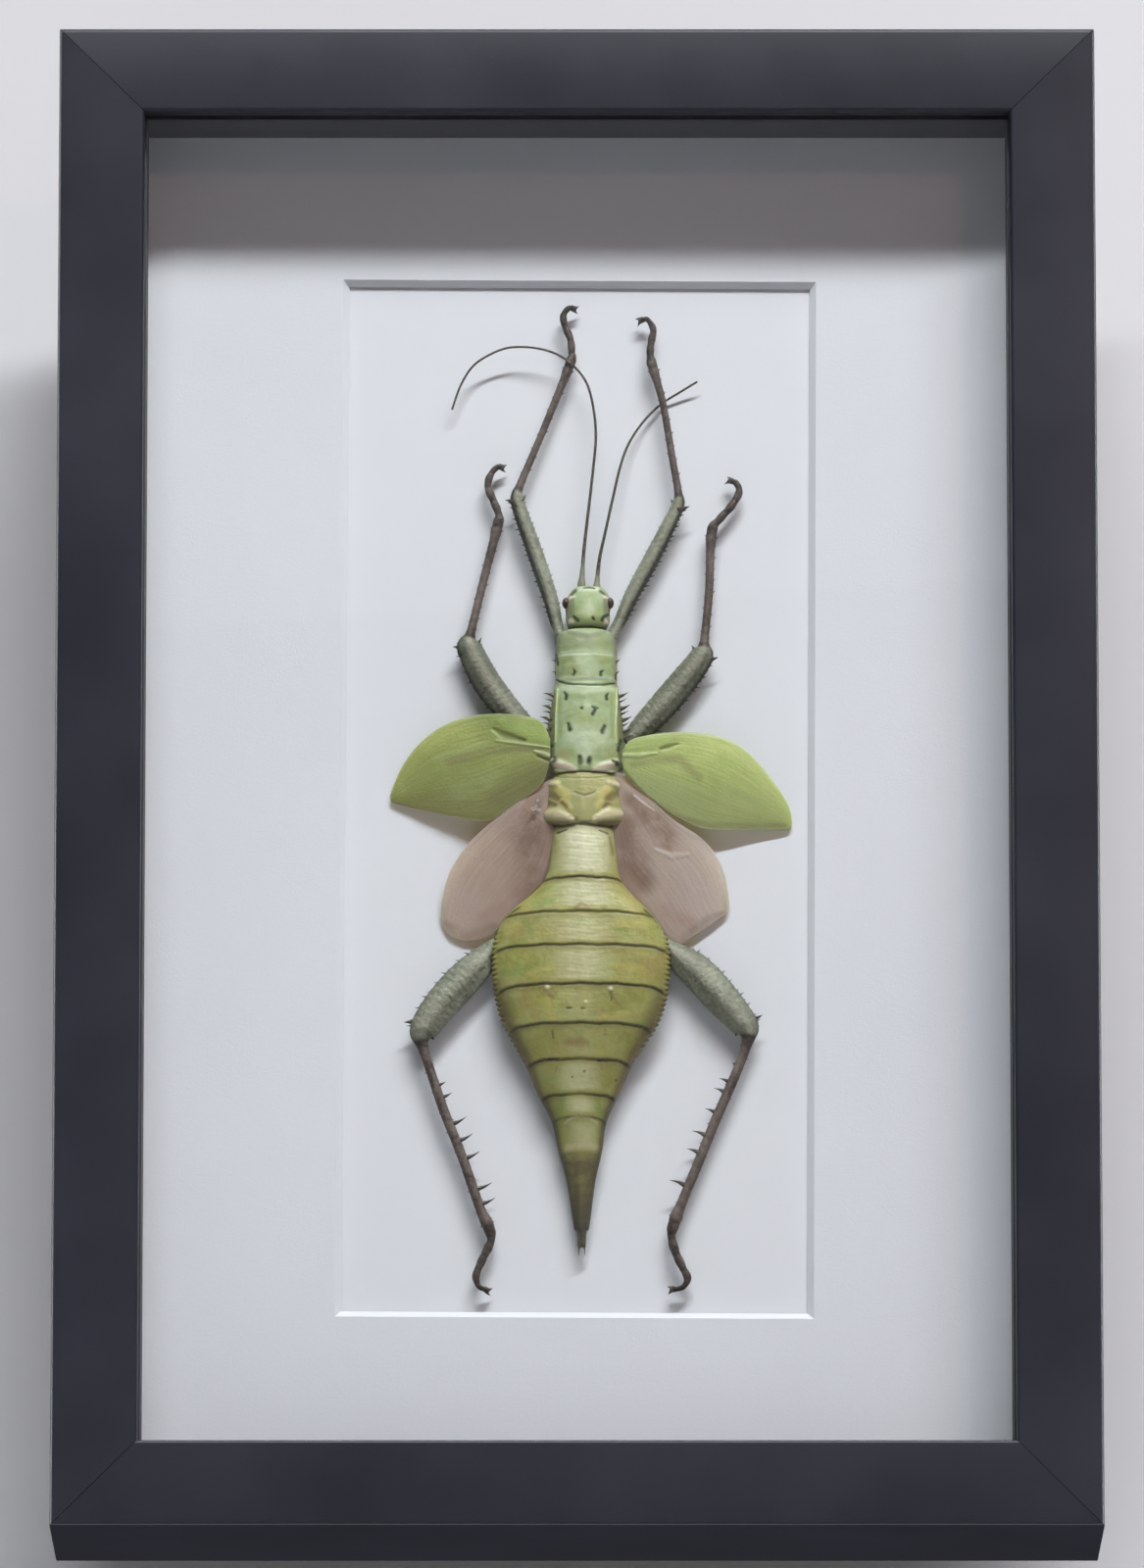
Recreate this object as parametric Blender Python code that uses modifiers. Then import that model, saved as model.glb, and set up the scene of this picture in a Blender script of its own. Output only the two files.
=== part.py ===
"""A jungle nymph, a large spiny stick insect, mounted with spread wings in a black box frame.

The frame stands upright on its bottom rail, its front facing -Y. X runs to the right seen from
the front and Z runs up. The origin is the middle of the underside. The insect lies on the backing
board behind the glass, and its pieces are placed by x, z and their height above that board.
"""

import math

import bmesh
import bpy
from mathutils import Vector

MM = 0.001
GAP = 0.3 * MM

# Frame sizes, outside to inside and front to back
FRAME_WIDTH = 230 * MM
FRAME_HEIGHT = 337 * MM
FRAME_DEPTH = 48 * MM
FACE_WIDTH = 19 * MM
LIP_DEPTH = 4 * MM
RAIL_WALL = 16 * MM
EDGE_BEVEL = 0.7 * MM
MITRE_GAP = 0.2 * MM
GLASS_THICKNESS = 2 * MM
SPACER_FACE = 19.4 * MM
SPACER_LENGTH = 16.4 * MM
MAT_THICKNESS = 1.4 * MM
BOARD_THICKNESS = 5 * MM
BACK_THICKNESS = 3 * MM

# The window cut in the mat
WINDOW_WIDTH = 104 * MM
WINDOW_HEIGHT = 233.4 * MM
WINDOW_DROP = 1.1 * MM
WINDOW_TURN = math.radians(0.3)

# Depth of each layer behind the front face
FRONT = -FRAME_DEPTH / 2
GLASS_FRONT = FRONT + LIP_DEPTH + GAP
SPACER_FRONT = GLASS_FRONT + GLASS_THICKNESS + GAP
MAT_FRONT = SPACER_FRONT + SPACER_LENGTH + GAP
BOARD_FRONT = MAT_FRONT + MAT_THICKNESS + GAP
BACK_FRONT = BOARD_FRONT + BOARD_THICKNESS + GAP
BACK_REAR = BACK_FRONT + BACK_THICKNESS

# Small fittings of the back
TAB_LENGTH = 15 * MM
TAB_WIDTH = 7 * MM
TAB_THICKNESS = 0.7 * MM
HANGER_WIDTH = 46 * MM
HANGER_HEIGHT = 13 * MM
HANGER_THICKNESS = 1.2 * MM
HANGER_TEETH = 9


def start_empty():
    """Removes what the scene holds and makes the two collections."""
    for item in list(bpy.data.objects):
        bpy.data.objects.remove(item)
    made = []
    for name in ("framed_jungle_nymph", "cutters"):
        collection = bpy.data.collections.new(name)
        bpy.context.scene.collection.children.link(collection)
        made.append(collection)
    return made


PARTS, CUTTERS = start_empty()


def paint(name, colour, roughness, metallic=0.0):
    """A plain Principled material."""
    material = bpy.data.materials.new(name)
    material.use_nodes = True
    shader = material.node_tree.nodes["Principled BSDF"]
    shader.inputs["Base Color"].default_value = (*colour, 1.0)
    shader.inputs["Roughness"].default_value = roughness
    shader.inputs["Metallic"].default_value = metallic
    return material


BLACK_WOOD = paint("black_wood", (0.035, 0.037, 0.05), 0.4)
CLEAR_GLASS = paint("clear_glass", (0.9, 0.94, 0.93), 0.03)
WHITE_CARD = paint("white_card", (0.76, 0.78, 0.82), 0.8)
BROWN_BOARD = paint("brown_board", (0.3, 0.2, 0.12), 0.8)
BRIGHT_STEEL = paint("bright_steel", (0.6, 0.6, 0.58), 0.3, 1.0)
MINT_SKIN = paint("mint_skin", (0.42, 0.55, 0.28), 0.5)
OLIVE_SKIN = paint("olive_skin", (0.38, 0.4, 0.09), 0.5)
LEG_SKIN = paint("leg_skin", (0.22, 0.26, 0.16), 0.55)
GREEN_WING = paint("green_wing", (0.27, 0.41, 0.08), 0.5)
PINK_WING = paint("pink_wing", (0.38, 0.28, 0.27), 0.6)
HORN_BROWN = paint("horn_brown", (0.05, 0.04, 0.03), 0.4)


def keep(name, mesh, material, collection=PARTS):
    """Puts a finished mesh into a collection as one named object."""
    item = bpy.data.objects.new(name, mesh)
    item.data.name = name
    if material:
        item.data.materials.clear()
        item.data.materials.append(material)
    collection.objects.link(item)
    return item


def outward(form, name):
    """Turns every face outward and hands the finished form over as a mesh."""
    form.normal_update()
    bmesh.ops.recalc_face_normals(form, faces=form.faces)
    mesh = bpy.data.meshes.new(name)
    form.to_mesh(mesh)
    form.free()
    return mesh


def as_cutter(item):
    """Marks a guide that shapes another piece and isn't one itself."""
    item.hide_render = True
    item.display_type = "WIRE"
    return item


def combine(target, other, operation):
    """Adds or cuts another solid with an exact Boolean."""
    change = target.modifiers.new(operation.lower(), "BOOLEAN")
    change.operation = operation
    change.solver = "EXACT"
    change.object = other


def block(name, size, centre, material, collection=PARTS, bevel=0.0):
    """A box of a given size, with softened edges where asked."""
    form = bmesh.new()
    bmesh.ops.create_cube(form, size=1.0)
    for corner in form.verts:
        corner.co = Vector(a * b for a, b in zip(corner.co, size)) + Vector(centre)
    mesh = outward(form, name)
    item = keep(name, mesh, material, collection)
    if bevel:
        rounding = item.modifiers.new("soft_edges", "BEVEL")
        rounding.width = bevel
        rounding.segments = 1
    return item


# Frame, glass and spacer


def mitred_bar(name, section, side, material):
    """One side of a rectangular frame: a section run along the side, its ends cut at 45 degrees.

    The section lists (distance in from the outer edge, y). Each end of the bar steps in by that
    distance, which is the mitre. Sides are top, bottom, left and right.
    """
    upright = side in ("left", "right")
    half = (FRAME_HEIGHT if upright else FRAME_WIDTH) / 2
    middle = FRAME_HEIGHT / 2
    form = bmesh.new()
    start = [form.verts.new((inward, y, -(half - inward - MITRE_GAP))) for inward, y in section]
    face = form.faces.new(start)
    run = bmesh.ops.extrude_face_region(form, geom=[face])
    for corner in run["geom"]:
        if isinstance(corner, bmesh.types.BMVert):
            corner.co.z = -corner.co.z
    for corner in form.verts:
        inward, y, along = corner.co
        if side == "left":
            corner.co = (-FRAME_WIDTH / 2 + inward, y, middle + along)
        elif side == "right":
            corner.co = (FRAME_WIDTH / 2 - inward, y, middle + along)
        elif side == "top":
            corner.co = (along, y, FRAME_HEIGHT - inward)
        else:
            corner.co = (along, y, inward)
    mesh = outward(form, name)
    return keep(name, mesh, material)


def make_frame():
    """Four mitred rails with a lip that holds the glass, and four black strips behind the glass."""
    rear = FRONT + FRAME_DEPTH
    rail = [
        (0, FRONT + EDGE_BEVEL),
        (EDGE_BEVEL, FRONT),
        (FACE_WIDTH - EDGE_BEVEL, FRONT),
        (FACE_WIDTH, FRONT + EDGE_BEVEL),
        (FACE_WIDTH, FRONT + LIP_DEPTH),
        (RAIL_WALL, FRONT + LIP_DEPTH),
        (RAIL_WALL, rear),
        (0, rear),
    ]
    spacer = [
        (RAIL_WALL + GAP, SPACER_FRONT),
        (SPACER_FACE, SPACER_FRONT),
        (SPACER_FACE, SPACER_FRONT + SPACER_LENGTH),
        (RAIL_WALL + GAP, SPACER_FRONT + SPACER_LENGTH),
    ]
    for side in ("top", "bottom", "left", "right"):
        mitred_bar(f"rail_{side}", rail, side, BLACK_WOOD)
        mitred_bar(f"spacer_{side}", spacer, side, BLACK_WOOD)


def sheet_in_rebate(name, front, thickness, material):
    """A flat sheet that fills the rebate behind the lip."""
    fit = RAIL_WALL + GAP
    size = (FRAME_WIDTH - 2 * fit, thickness, FRAME_HEIGHT - 2 * fit)
    return block(name, size, (0, front + thickness / 2, FRAME_HEIGHT / 2), material)


def make_layers():
    """Glass, window mat with a bevelled opening, backing board and back panel."""
    sheet_in_rebate("glass", GLASS_FRONT, GLASS_THICKNESS, CLEAR_GLASS)
    mat = sheet_in_rebate("window_mat", MAT_FRONT, MAT_THICKNESS, WHITE_CARD)
    opening = bmesh.new()
    bmesh.ops.create_cube(opening, size=2.0)
    reach = 2 * MAT_THICKNESS
    middle = MAT_FRONT + MAT_THICKNESS / 2
    for corner in opening.verts:
        side, depth, level = corner.co
        x = side * (WINDOW_WIDTH / 2 - depth * reach / 2)
        z = level * (WINDOW_HEIGHT / 2 - depth * reach / 2)
        corner.co = (
            x * math.cos(WINDOW_TURN) + z * math.sin(WINDOW_TURN),
            middle + depth * reach / 2,
            FRAME_HEIGHT / 2 - WINDOW_DROP + z * math.cos(WINDOW_TURN) - x * math.sin(WINDOW_TURN),
        )
    mesh = outward(opening, "window_cut")
    cut = as_cutter(keep("window_cut", mesh, None, CUTTERS))
    combine(mat, cut, "DIFFERENCE")
    sheet_in_rebate("backing_board", BOARD_FRONT, BOARD_THICKNESS, WHITE_CARD)
    sheet_in_rebate("back_panel", BACK_FRONT, BACK_THICKNESS, BROWN_BOARD)


def make_back_fittings():
    """Steel tabs that hold the back panel in, and a toothed hanger with its two rivets."""
    rear = BACK_REAR + GAP + TAB_THICKNESS / 2
    side_reach = FRAME_WIDTH / 2 - RAIL_WALL - GAP - TAB_LENGTH / 2
    end_reach = FRAME_HEIGHT / 2 - RAIL_WALL - GAP - TAB_LENGTH / 2
    middle = FRAME_HEIGHT / 2
    quarter = FRAME_HEIGHT / 4
    flat = (TAB_LENGTH, TAB_THICKNESS, TAB_WIDTH)
    tall = (TAB_WIDTH, TAB_THICKNESS, TAB_LENGTH)
    places = {
        "tab_left_upper": (flat, -side_reach, middle + quarter),
        "tab_left_lower": (flat, -side_reach, middle - quarter),
        "tab_right_upper": (flat, side_reach, middle + quarter),
        "tab_right_lower": (flat, side_reach, middle - quarter),
        "tab_top": (tall, 0, middle + end_reach),
        "tab_bottom": (tall, 0, middle - end_reach),
    }
    for name, (size, x, z) in places.items():
        block(name, size, (x, rear, z), BRIGHT_STEEL, bevel=0.15 * MM)

    plate_y = BACK_REAR + GAP + HANGER_THICKNESS / 2
    plate_z = FRAME_HEIGHT - 48 * MM
    size = (HANGER_WIDTH, HANGER_THICKNESS, HANGER_HEIGHT)
    plate = block("hanger", size, (0, plate_y, plate_z), BRIGHT_STEEL)
    slot_size = (HANGER_WIDTH * 0.55, HANGER_THICKNESS * 3, HANGER_HEIGHT * 0.36)
    slot = block("hanger_slot", slot_size, (0, plate_y, plate_z - 1.2 * MM), None, CUTTERS)
    combine(plate, as_cutter(slot), "DIFFERENCE")
    pitch = slot_size[0] / HANGER_TEETH
    for number in range(HANGER_TEETH):
        x = (number - (HANGER_TEETH - 1) / 2) * pitch
        top = plate_z - 1.2 * MM + slot_size[2] / 2
        tooth = block(
            f"hanger_notch_{number}",
            (pitch * 0.5, HANGER_THICKNESS * 3, pitch * 0.5),
            (0, 0, 0),
            None,
            CUTTERS,
        )
        tooth.rotation_euler = (0, math.pi / 4, 0)
        tooth.location = (x, plate_y, top)
        combine(plate, as_cutter(tooth), "DIFFERENCE")
    for name, x in (("rivet_left", -1), ("rivet_right", 1)):
        form = bmesh.new()
        bmesh.ops.create_cone(
            form, cap_ends=True, segments=16, radius1=1.9 * MM, radius2=1.3 * MM, depth=0.9 * MM
        )
        for corner in form.verts:
            across, up, out = corner.co
            corner.co = (
                x * HANGER_WIDTH * 0.39 + across,
                plate_y + HANGER_THICKNESS / 2 + GAP + 0.45 * MM + out,
                plate_z + up,
            )
        mesh = outward(form, name)
        keep(name, mesh, BRIGHT_STEEL)


# The insect, with every place given as x, z and height above the backing board in millimetres


def spot(x, z, height):
    """A place on the insect, from millimetres to the frame's own metres."""
    return Vector((x * MM, BOARD_FRONT - height * MM, z * MM))


def lofted(name, rings, material, sides=20):
    """A body run through oval rings: (z, middle x, half width, lowest height, top height)."""
    form = bmesh.new()
    loops = []
    for z, middle, half, low, top in rings:
        level = low + (top - low) * 0.42
        loop = []
        for step in range(sides):
            turn = 2 * math.pi * step / sides
            rise = math.sin(turn)
            height = level + rise * (top - level if rise > 0 else level - low)
            loop.append(form.verts.new(spot(middle + half * math.cos(turn), z, height)))
        loops.append(loop)
    for one, two in zip(loops, loops[1:]):
        for step in range(sides):
            after = (step + 1) % sides
            form.faces.new((one[step], one[after], two[after], two[step]))
    form.faces.new(loops[0])
    form.faces.new(loops[-1])
    mesh = outward(form, name)
    mesh.shade_smooth()
    return keep(name, mesh, material)


def smooth_run(stations, steps=2):
    """Points of a smooth curve through the stations, each a tuple of numbers that all blend."""
    run = []
    last = len(stations) - 1
    for index in range(last):
        before = stations[max(index - 1, 0)]
        here, there = stations[index], stations[index + 1]
        after = stations[min(index + 2, last)]
        for step in range(steps):
            t = step / steps
            run.append(
                tuple(
                    0.5 * (2 * b + (c - a) * t + (2 * a - 5 * b + 4 * c - d) * t * t
                           + (3 * b - a - 3 * c + d) * t * t * t)
                    for a, b, c, d in zip(before, here, there, after)
                )
            )
    run.append(stations[-1])
    return run


def rod(name, stations, material, roundness=2, steps=2):
    """A limb of changing thickness along stations (x, z, height, radius)."""
    line = bpy.data.curves.new(name, "CURVE")
    line.dimensions = "3D"
    line.bevel_depth = MM
    line.bevel_resolution = roundness
    line.use_fill_caps = True
    points = smooth_run(stations, steps)
    spline = line.splines.new("POLY")
    spline.points.add(len(points) - 1)
    for place, (x, z, height, radius) in zip(spline.points, points):
        place.co = (*spot(x, z, height), 1.0)
        place.radius = radius
    drawn = keep(name, line, None)
    return solid_from(drawn, name, material)


def solid_from(drawn, name, material):
    """Turns a curve object into a closed mesh, its caps welded on."""
    bpy.context.view_layer.update()
    seen = drawn.evaluated_get(bpy.context.evaluated_depsgraph_get())
    mesh = bpy.data.meshes.new_from_object(seen)
    place = drawn.matrix_world.copy()
    bpy.data.objects.remove(drawn)
    form = bmesh.new()
    form.from_mesh(mesh)
    bmesh.ops.remove_doubles(form, verts=form.verts, dist=0.00001)
    item = keep(name, outward(form, name), material)
    item.matrix_world = place
    return item


def nearest_station(stations, x, z):
    """The station whose place in the frame is nearest to a point."""
    return min(stations, key=lambda s: (s[0] - x) ** 2 + (s[1] - z) ** 2)


def add_spines(target, stations, tips, girth=0.42):
    """Grows cones from inside a limb out to the tips, each (x, z, height), and fuses them to it."""
    fine = smooth_run(stations, 10)
    form = bmesh.new()
    for x, z, height in tips:
        rooted = nearest_station(fine, x, z)
        root = spot(*rooted[:3])
        tip = spot(x, z, height)
        direction = tip - root
        made = bmesh.ops.create_cone(
            form,
            cap_ends=True,
            segments=6,
            radius1=girth * MM,
            radius2=0.06 * MM,
            depth=direction.length,
        )
        turn = direction.to_track_quat("Z", "Y").to_matrix()
        bmesh.ops.rotate(form, verts=made["verts"], matrix=turn)
        bmesh.ops.translate(form, verts=made["verts"], vec=(root + tip) / 2)
    mesh = outward(form, f"{target.name}_spines")
    spines = as_cutter(keep(f"{target.name}_spines", mesh, None, CUTTERS))
    combine(target, spines, "UNION")


HEAD_RINGS = [
    (213.7, 2.6, 2.2, 3.4, 6.2),
    (212.8, 2.6, 3.6, 2.2, 7.2),
    (210.6, 2.5, 5.1, 1.4, 8.0),
    (208.4, 2.4, 4.9, 1.2, 8.2),
    (206.2, 2.4, 4.8, 1.2, 8.2),
    (204.6, 2.3, 4.2, 1.6, 7.4),
]

THORAX_RINGS = [
    (204.2, 2.0, 4.6, 1.6, 7.4),
    (203.0, 2.0, 6.2, 1.0, 8.5),
    (198.2, 2.0, 6.9, 0.5, 9.1),
    (193.2, 2.0, 6.9, 0.5, 8.9),
    (192.0, 2.0, 6.2, 0.9, 8.1),
    (190.6, 2.0, 7.0, 0.5, 9.0),
    (184.0, 1.9, 8.3, 0.4, 9.5),
    (178.0, 1.9, 8.7, 0.4, 9.5),
    (174.4, 1.8, 8.3, 0.4, 9.3),
    (171.6, 1.8, 6.4, 0.8, 8.4),
]

ABDOMEN_RINGS = [
    (171.2, 1.7, 6.4, 0.8, 8.2),
    (169.0, 1.6, 7.2, 0.5, 8.9),
    (164.6, 1.4, 7.5, 0.4, 9.2),
    (160.6, 1.3, 7.6, 0.4, 8.9),
    (159.4, 1.3, 6.6, 0.5, 8.4),
    (153.6, 1.3, 6.7, 0.4, 9.2),
    (148.0, 1.2, 8.0, 0.4, 9.6),
    (144.2, 1.0, 11.4, 0.4, 9.9),
    (140.4, 0.7, 15.6, 0.4, 10.2),
    (136.4, 0.8, 18.2, 0.4, 10.4),
    (131.4, 0.9, 19.3, 0.4, 10.5),
    (123.3, 0.9, 19.0, 0.4, 10.4),
    (115.6, 0.8, 17.0, 0.4, 9.8),
    (107.4, 0.4, 12.3, 0.5, 8.6),
    (99.7, 0.3, 9.0, 0.6, 7.4),
    (93.6, 0.5, 6.1, 0.9, 6.4),
    (86.8, 0.7, 4.8, 1.2, 5.6),
    (79.8, 0.9, 3.1, 1.5, 4.8),
    (68.8, 1.0, 1.5, 1.8, 3.9),
    (63.6, 1.2, 0.7, 2.0, 3.2),
]


def make_body():
    """Head, thorax with its side spines, and the abdomen with its tapered tail."""
    lofted("head", HEAD_RINGS, MINT_SKIN, 18)
    thorax = lofted("thorax", THORAX_RINGS, MINT_SKIN)
    middle_line = [(1.95, z, 4.2, 1.0) for z in (200.5, 172.5)]
    tips = []
    for z in (200.4, 196.6, 189.4, 186.6, 184.0, 181.4, 176.0):
        reach = 8.8 if z > 192 else 10.4
        tips.append((1.95 - reach, z + 0.5, 5.6))
        tips.append((1.95 + reach, z + 0.5, 5.6))
    add_spines(thorax, middle_line, tips, 0.7)
    lofted("abdomen", ABDOMEN_RINGS, OLIVE_SKIN, 24)


LEGS = {
    "leg_front_left": [
        (-4.5, 205.9, 3.2, 1.1), (-6.0, 212.1, 3.4, 1.35), (-9.3, 222.1, 3.6, 1.45),
        (-12.6, 231.6, 3.8, 1.3), (-13.3, 235.0, 3.9, 1.05), (-12.3, 238.4, 3.8, 0.75),
        (-7.5, 250.1, 3.4, 0.7), (-1.7, 265.0, 3.1, 0.78), (-1.2, 268.0, 3.1, 0.6),
        (-1.5, 271.2, 3.0, 0.6), (-2.7, 274.1, 2.9, 0.55), (-3.0, 276.6, 2.8, 0.55),
        (-1.7, 278.3, 2.7, 0.42), (-0.1, 278.0, 2.4, 0.2),
    ],
    "leg_front_right": [
        (9.4, 206.4, 3.2, 1.1), (12.3, 212.8, 3.4, 1.35), (16.2, 220.1, 3.6, 1.45),
        (20.6, 228.8, 3.8, 1.3), (22.5, 233.2, 3.9, 1.05), (22.4, 236.6, 3.8, 0.75),
        (21.0, 244.9, 3.6, 0.7), (19.1, 256.4, 3.4, 0.7), (16.8, 264.9, 3.2, 0.78),
        (16.3, 267.9, 3.1, 0.6), (16.6, 270.7, 3.0, 0.6), (17.0, 273.3, 2.9, 0.55),
        (15.6, 275.7, 2.7, 0.42), (13.7, 275.2, 2.4, 0.2),
    ],
    "leg_middle_left": [
        (-7.6, 179.6, 2.6, 1.7), (-12.5, 183.4, 2.8, 2.3), (-19.5, 192.0, 3.2, 2.6),
        (-23.4, 199.4, 3.5, 1.9), (-24.0, 201.9, 3.5, 1.3), (-23.4, 204.6, 3.4, 0.88),
        (-20.8, 215.7, 3.2, 0.8), (-17.7, 228.2, 3.0, 0.85), (-17.4, 231.0, 3.0, 0.65),
        (-18.6, 234.2, 2.9, 0.65), (-19.8, 237.5, 2.8, 0.6), (-19.1, 240.3, 2.7, 0.55),
        (-17.5, 242.0, 2.6, 0.42), (-16.2, 241.6, 2.4, 0.2),
    ],
    "leg_middle_right": [
        (11.2, 178.9, 2.6, 1.7), (14.6, 182.6, 2.8, 2.3), (21.0, 189.8, 3.2, 2.6),
        (26.6, 196.9, 3.5, 1.9), (28.0, 199.7, 3.5, 1.3), (28.3, 202.6, 3.4, 0.88),
        (29.3, 213.2, 3.2, 0.8), (29.9, 226.6, 3.0, 0.85), (31.6, 229.8, 3.0, 0.65),
        (34.2, 232.8, 2.9, 0.65), (36.0, 236.0, 2.8, 0.6), (35.4, 238.2, 2.7, 0.5),
        (33.5, 238.9, 2.4, 0.2),
    ],
    "leg_hind_left": [
        (-17.4, 134.2, 1.8, 1.1), (-21.2, 129.6, 3.0, 2.4), (-25.4, 125.2, 3.3, 2.9),
        (-30.3, 119.5, 3.4, 2.7),
        (-33.7, 115.0, 3.5, 1.8), (-34.4, 112.3, 3.5, 1.2), (-33.5, 108.8, 3.4, 0.95),
        (-29.7, 97.1, 3.2, 0.95), (-25.2, 85.5, 3.1, 0.95), (-21.5, 74.7, 3.0, 0.95),
        (-19.6, 70.4, 3.0, 0.95), (-18.9, 67.5, 2.9, 0.7), (-19.7, 65.1, 2.9, 0.7),
        (-21.0, 62.4, 2.8, 0.65), (-22.2, 59.2, 2.7, 0.6), (-21.5, 56.8, 2.6, 0.45),
        (-19.2, 55.9, 2.4, 0.22),
    ],
    "leg_hind_right": [
        (19.2, 133.7, 1.8, 1.1), (23.1, 130.2, 3.0, 2.4), (27.0, 126.8, 3.3, 2.9),
        (31.8, 121.4, 3.4, 2.8),
        (36.4, 116.3, 3.5, 1.8), (37.9, 113.4, 3.5, 1.2), (37.1, 109.8, 3.4, 0.95),
        (34.5, 103.1, 3.2, 0.95), (30.6, 94.1, 3.1, 0.95), (26.7, 84.4, 3.0, 0.95),
        (23.2, 75.8, 3.0, 0.95), (21.5, 71.4, 3.0, 0.95), (20.8, 68.1, 2.9, 0.7),
        (21.7, 64.4, 2.9, 0.7), (23.2, 61.1, 2.8, 0.65), (24.3, 58.6, 2.7, 0.6),
        (23.2, 56.6, 2.6, 0.45), (20.4, 56.1, 2.4, 0.22),
    ],
}

SPINE_TIPS = {
    "leg_front_left": [(-10.2, 219.6, 4.2), (-12.2, 225.4, 4.2), (-14.2, 230.6, 4.4)],
    "leg_front_right": [(17.6, 218.2, 4.2), (20.2, 223.4, 4.2), (23.0, 228.6, 4.4)],
    "leg_middle_left": [
        (-19.2, 186.8, 3.6), (-22.6, 193.6, 3.8), (-21.6, 189.6, 5.4), (-25.9, 199.4, 4.0),
        (-16.0, 192.6, 3.6),
    ],
    "leg_middle_right": [
        (20.6, 184.8, 3.6), (26.2, 190.6, 3.8), (29.3, 196.6, 4.0), (17.2, 190.4, 3.6),
    ],
    "leg_hind_left": [
        (-36.6, 113.7, 3.8), (-31.6, 122.6, 4.2), (-27.8, 127.6, 4.2), (-35.2, 117.8, 4.2),
        (-32.4, 113.2, 3.8), (-29.0, 102.4, 4.0), (-27.6, 100.0, 4.0), (-24.4, 94.6, 4.0),
        (-23.0, 90.8, 4.0), (-21.5, 86.8, 4.0), (-18.7, 79.9, 3.8), (-18.1, 76.4, 3.8),
    ],
    "leg_hind_right": [
        (40.3, 115.0, 3.8), (33.6, 124.9, 4.2), (29.4, 129.4, 4.2), (37.4, 120.2, 4.2),
        (35.6, 113.6, 3.8), (34.2, 106.6, 4.0), (31.4, 103.2, 4.0), (30.2, 101.0, 4.0),
        (28.3, 96.4, 4.0), (25.4, 91.4, 4.0), (24.2, 87.4, 4.0), (20.4, 80.4, 3.8),
    ],
}

ANTENNAE = {
    "antenna_left": [
        (1.0, 214.5, 5.0, 0.5), (1.6, 222.9, 5.2, 0.36), (2.7, 232.7, 5.2, 0.3),
        (3.6, 241.0, 5.1, 0.28), (4.2, 248.4, 5.0, 0.27), (3.6, 255.2, 4.9, 0.26),
        (2.1, 260.7, 4.8, 0.25), (-0.8, 264.6, 4.7, 0.25), (-4.7, 267.4, 4.5, 0.25),
        (-9.6, 268.8, 4.3, 0.24), (-15.0, 268.9, 4.1, 0.24), (-19.3, 267.4, 3.9, 0.23),
        (-23.2, 264.7, 3.6, 0.23), (-25.9, 260.4, 3.2, 0.22), (-27.8, 255.0, 2.8, 0.2),
    ],
    "antenna_right": [
        (4.4, 214.5, 5.0, 0.5), (5.0, 220.4, 5.2, 0.36), (6.3, 226.6, 5.0, 0.3),
        (8.2, 235.4, 4.6, 0.28), (9.5, 241.2, 4.0, 0.27), (11.0, 246.0, 3.2, 0.26),
        (13.2, 250.2, 2.4, 0.25), (16.2, 254.2, 1.6, 0.25), (19.5, 257.2, 1.2, 0.24),
        (22.8, 259.2, 1.6, 0.23), (26.8, 261.5, 2.4, 0.22),
    ],
}

WING_THICKNESS = 0.5
WINGS = {
    "forewing_left": {
        "outline": [
            (-5.9, 181.0), (-7.9, 183.0), (-11.8, 184.4), (-18.1, 185.2), (-24.2, 184.7),
            (-29.2, 183.2), (-33.3, 180.6), (-36.8, 177.0), (-39.4, 172.8), (-41.2, 168.2),
            (-40.8, 166.0), (-36.8, 164.8), (-28.5, 162.6), (-20.1, 161.2), (-15.9, 163.3),
            (-10.8, 166.6), (-7.6, 169.4), (-5.9, 172.2),
        ],
        "root": (-6, 177, 7.2), "tip": (-41, 167, 0.9),
    },
    "forewing_right": {
        "outline": [
            (10.0, 177.4), (11.8, 178.8), (15.1, 179.9), (19.2, 180.7), (25.5, 181.0),
            (30.9, 180.4), (35.9, 178.4), (40.0, 174.8), (43.8, 170.2), (46.8, 165.4),
            (47.6, 161.8), (46.5, 159.8), (40.0, 159.7), (33.7, 159.4), (27.8, 159.7),
            (23.5, 161.4), (18.7, 164.2), (14.2, 167.5), (10.9, 170.8), (9.8, 173.4),
        ],
        "root": (10, 175, 7.2), "tip": (47, 161, 0.9),
    },
    "hindwing_left": {
        "outline": [
            (-8.6, 164.4), (-12.6, 163.2), (-16.2, 162.0), (-20.1, 159.9), (-24.2, 156.0),
            (-27.6, 151.3), (-29.3, 146.7), (-30.1, 141.6), (-29.8, 138.4), (-28.3, 136.0),
            (-24.4, 134.5), (-21.9, 135.0), (-19.4, 137.0), (-16.2, 141.4), (-12.2, 145.6),
            (-8.3, 149.4), (-6.9, 153.6), (-7.6, 158.4), (-8.3, 161.0),
        ],
        "root": (-7, 160, 6.2), "tip": (-28, 137, 0.9),
    },
    "hindwing_right": {
        "outline": [
            (10.2, 165.2), (12.3, 165.6), (16.8, 163.5), (21.4, 161.4), (27.6, 157.4),
            (30.9, 153.5), (32.7, 149.3), (33.6, 144.3), (33.6, 141.8), (32.6, 140.6),
            (29.1, 139.3), (25.9, 135.6), (22.8, 134.0), (20.8, 135.6), (17.2, 141.2),
            (13.4, 145.6), (10.8, 148.8), (9.2, 153.6), (9.8, 159.6), (10.3, 162.0),
        ],
        "root": (10, 160, 6.2), "tip": (31, 137, 0.9),
    },
}


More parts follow.
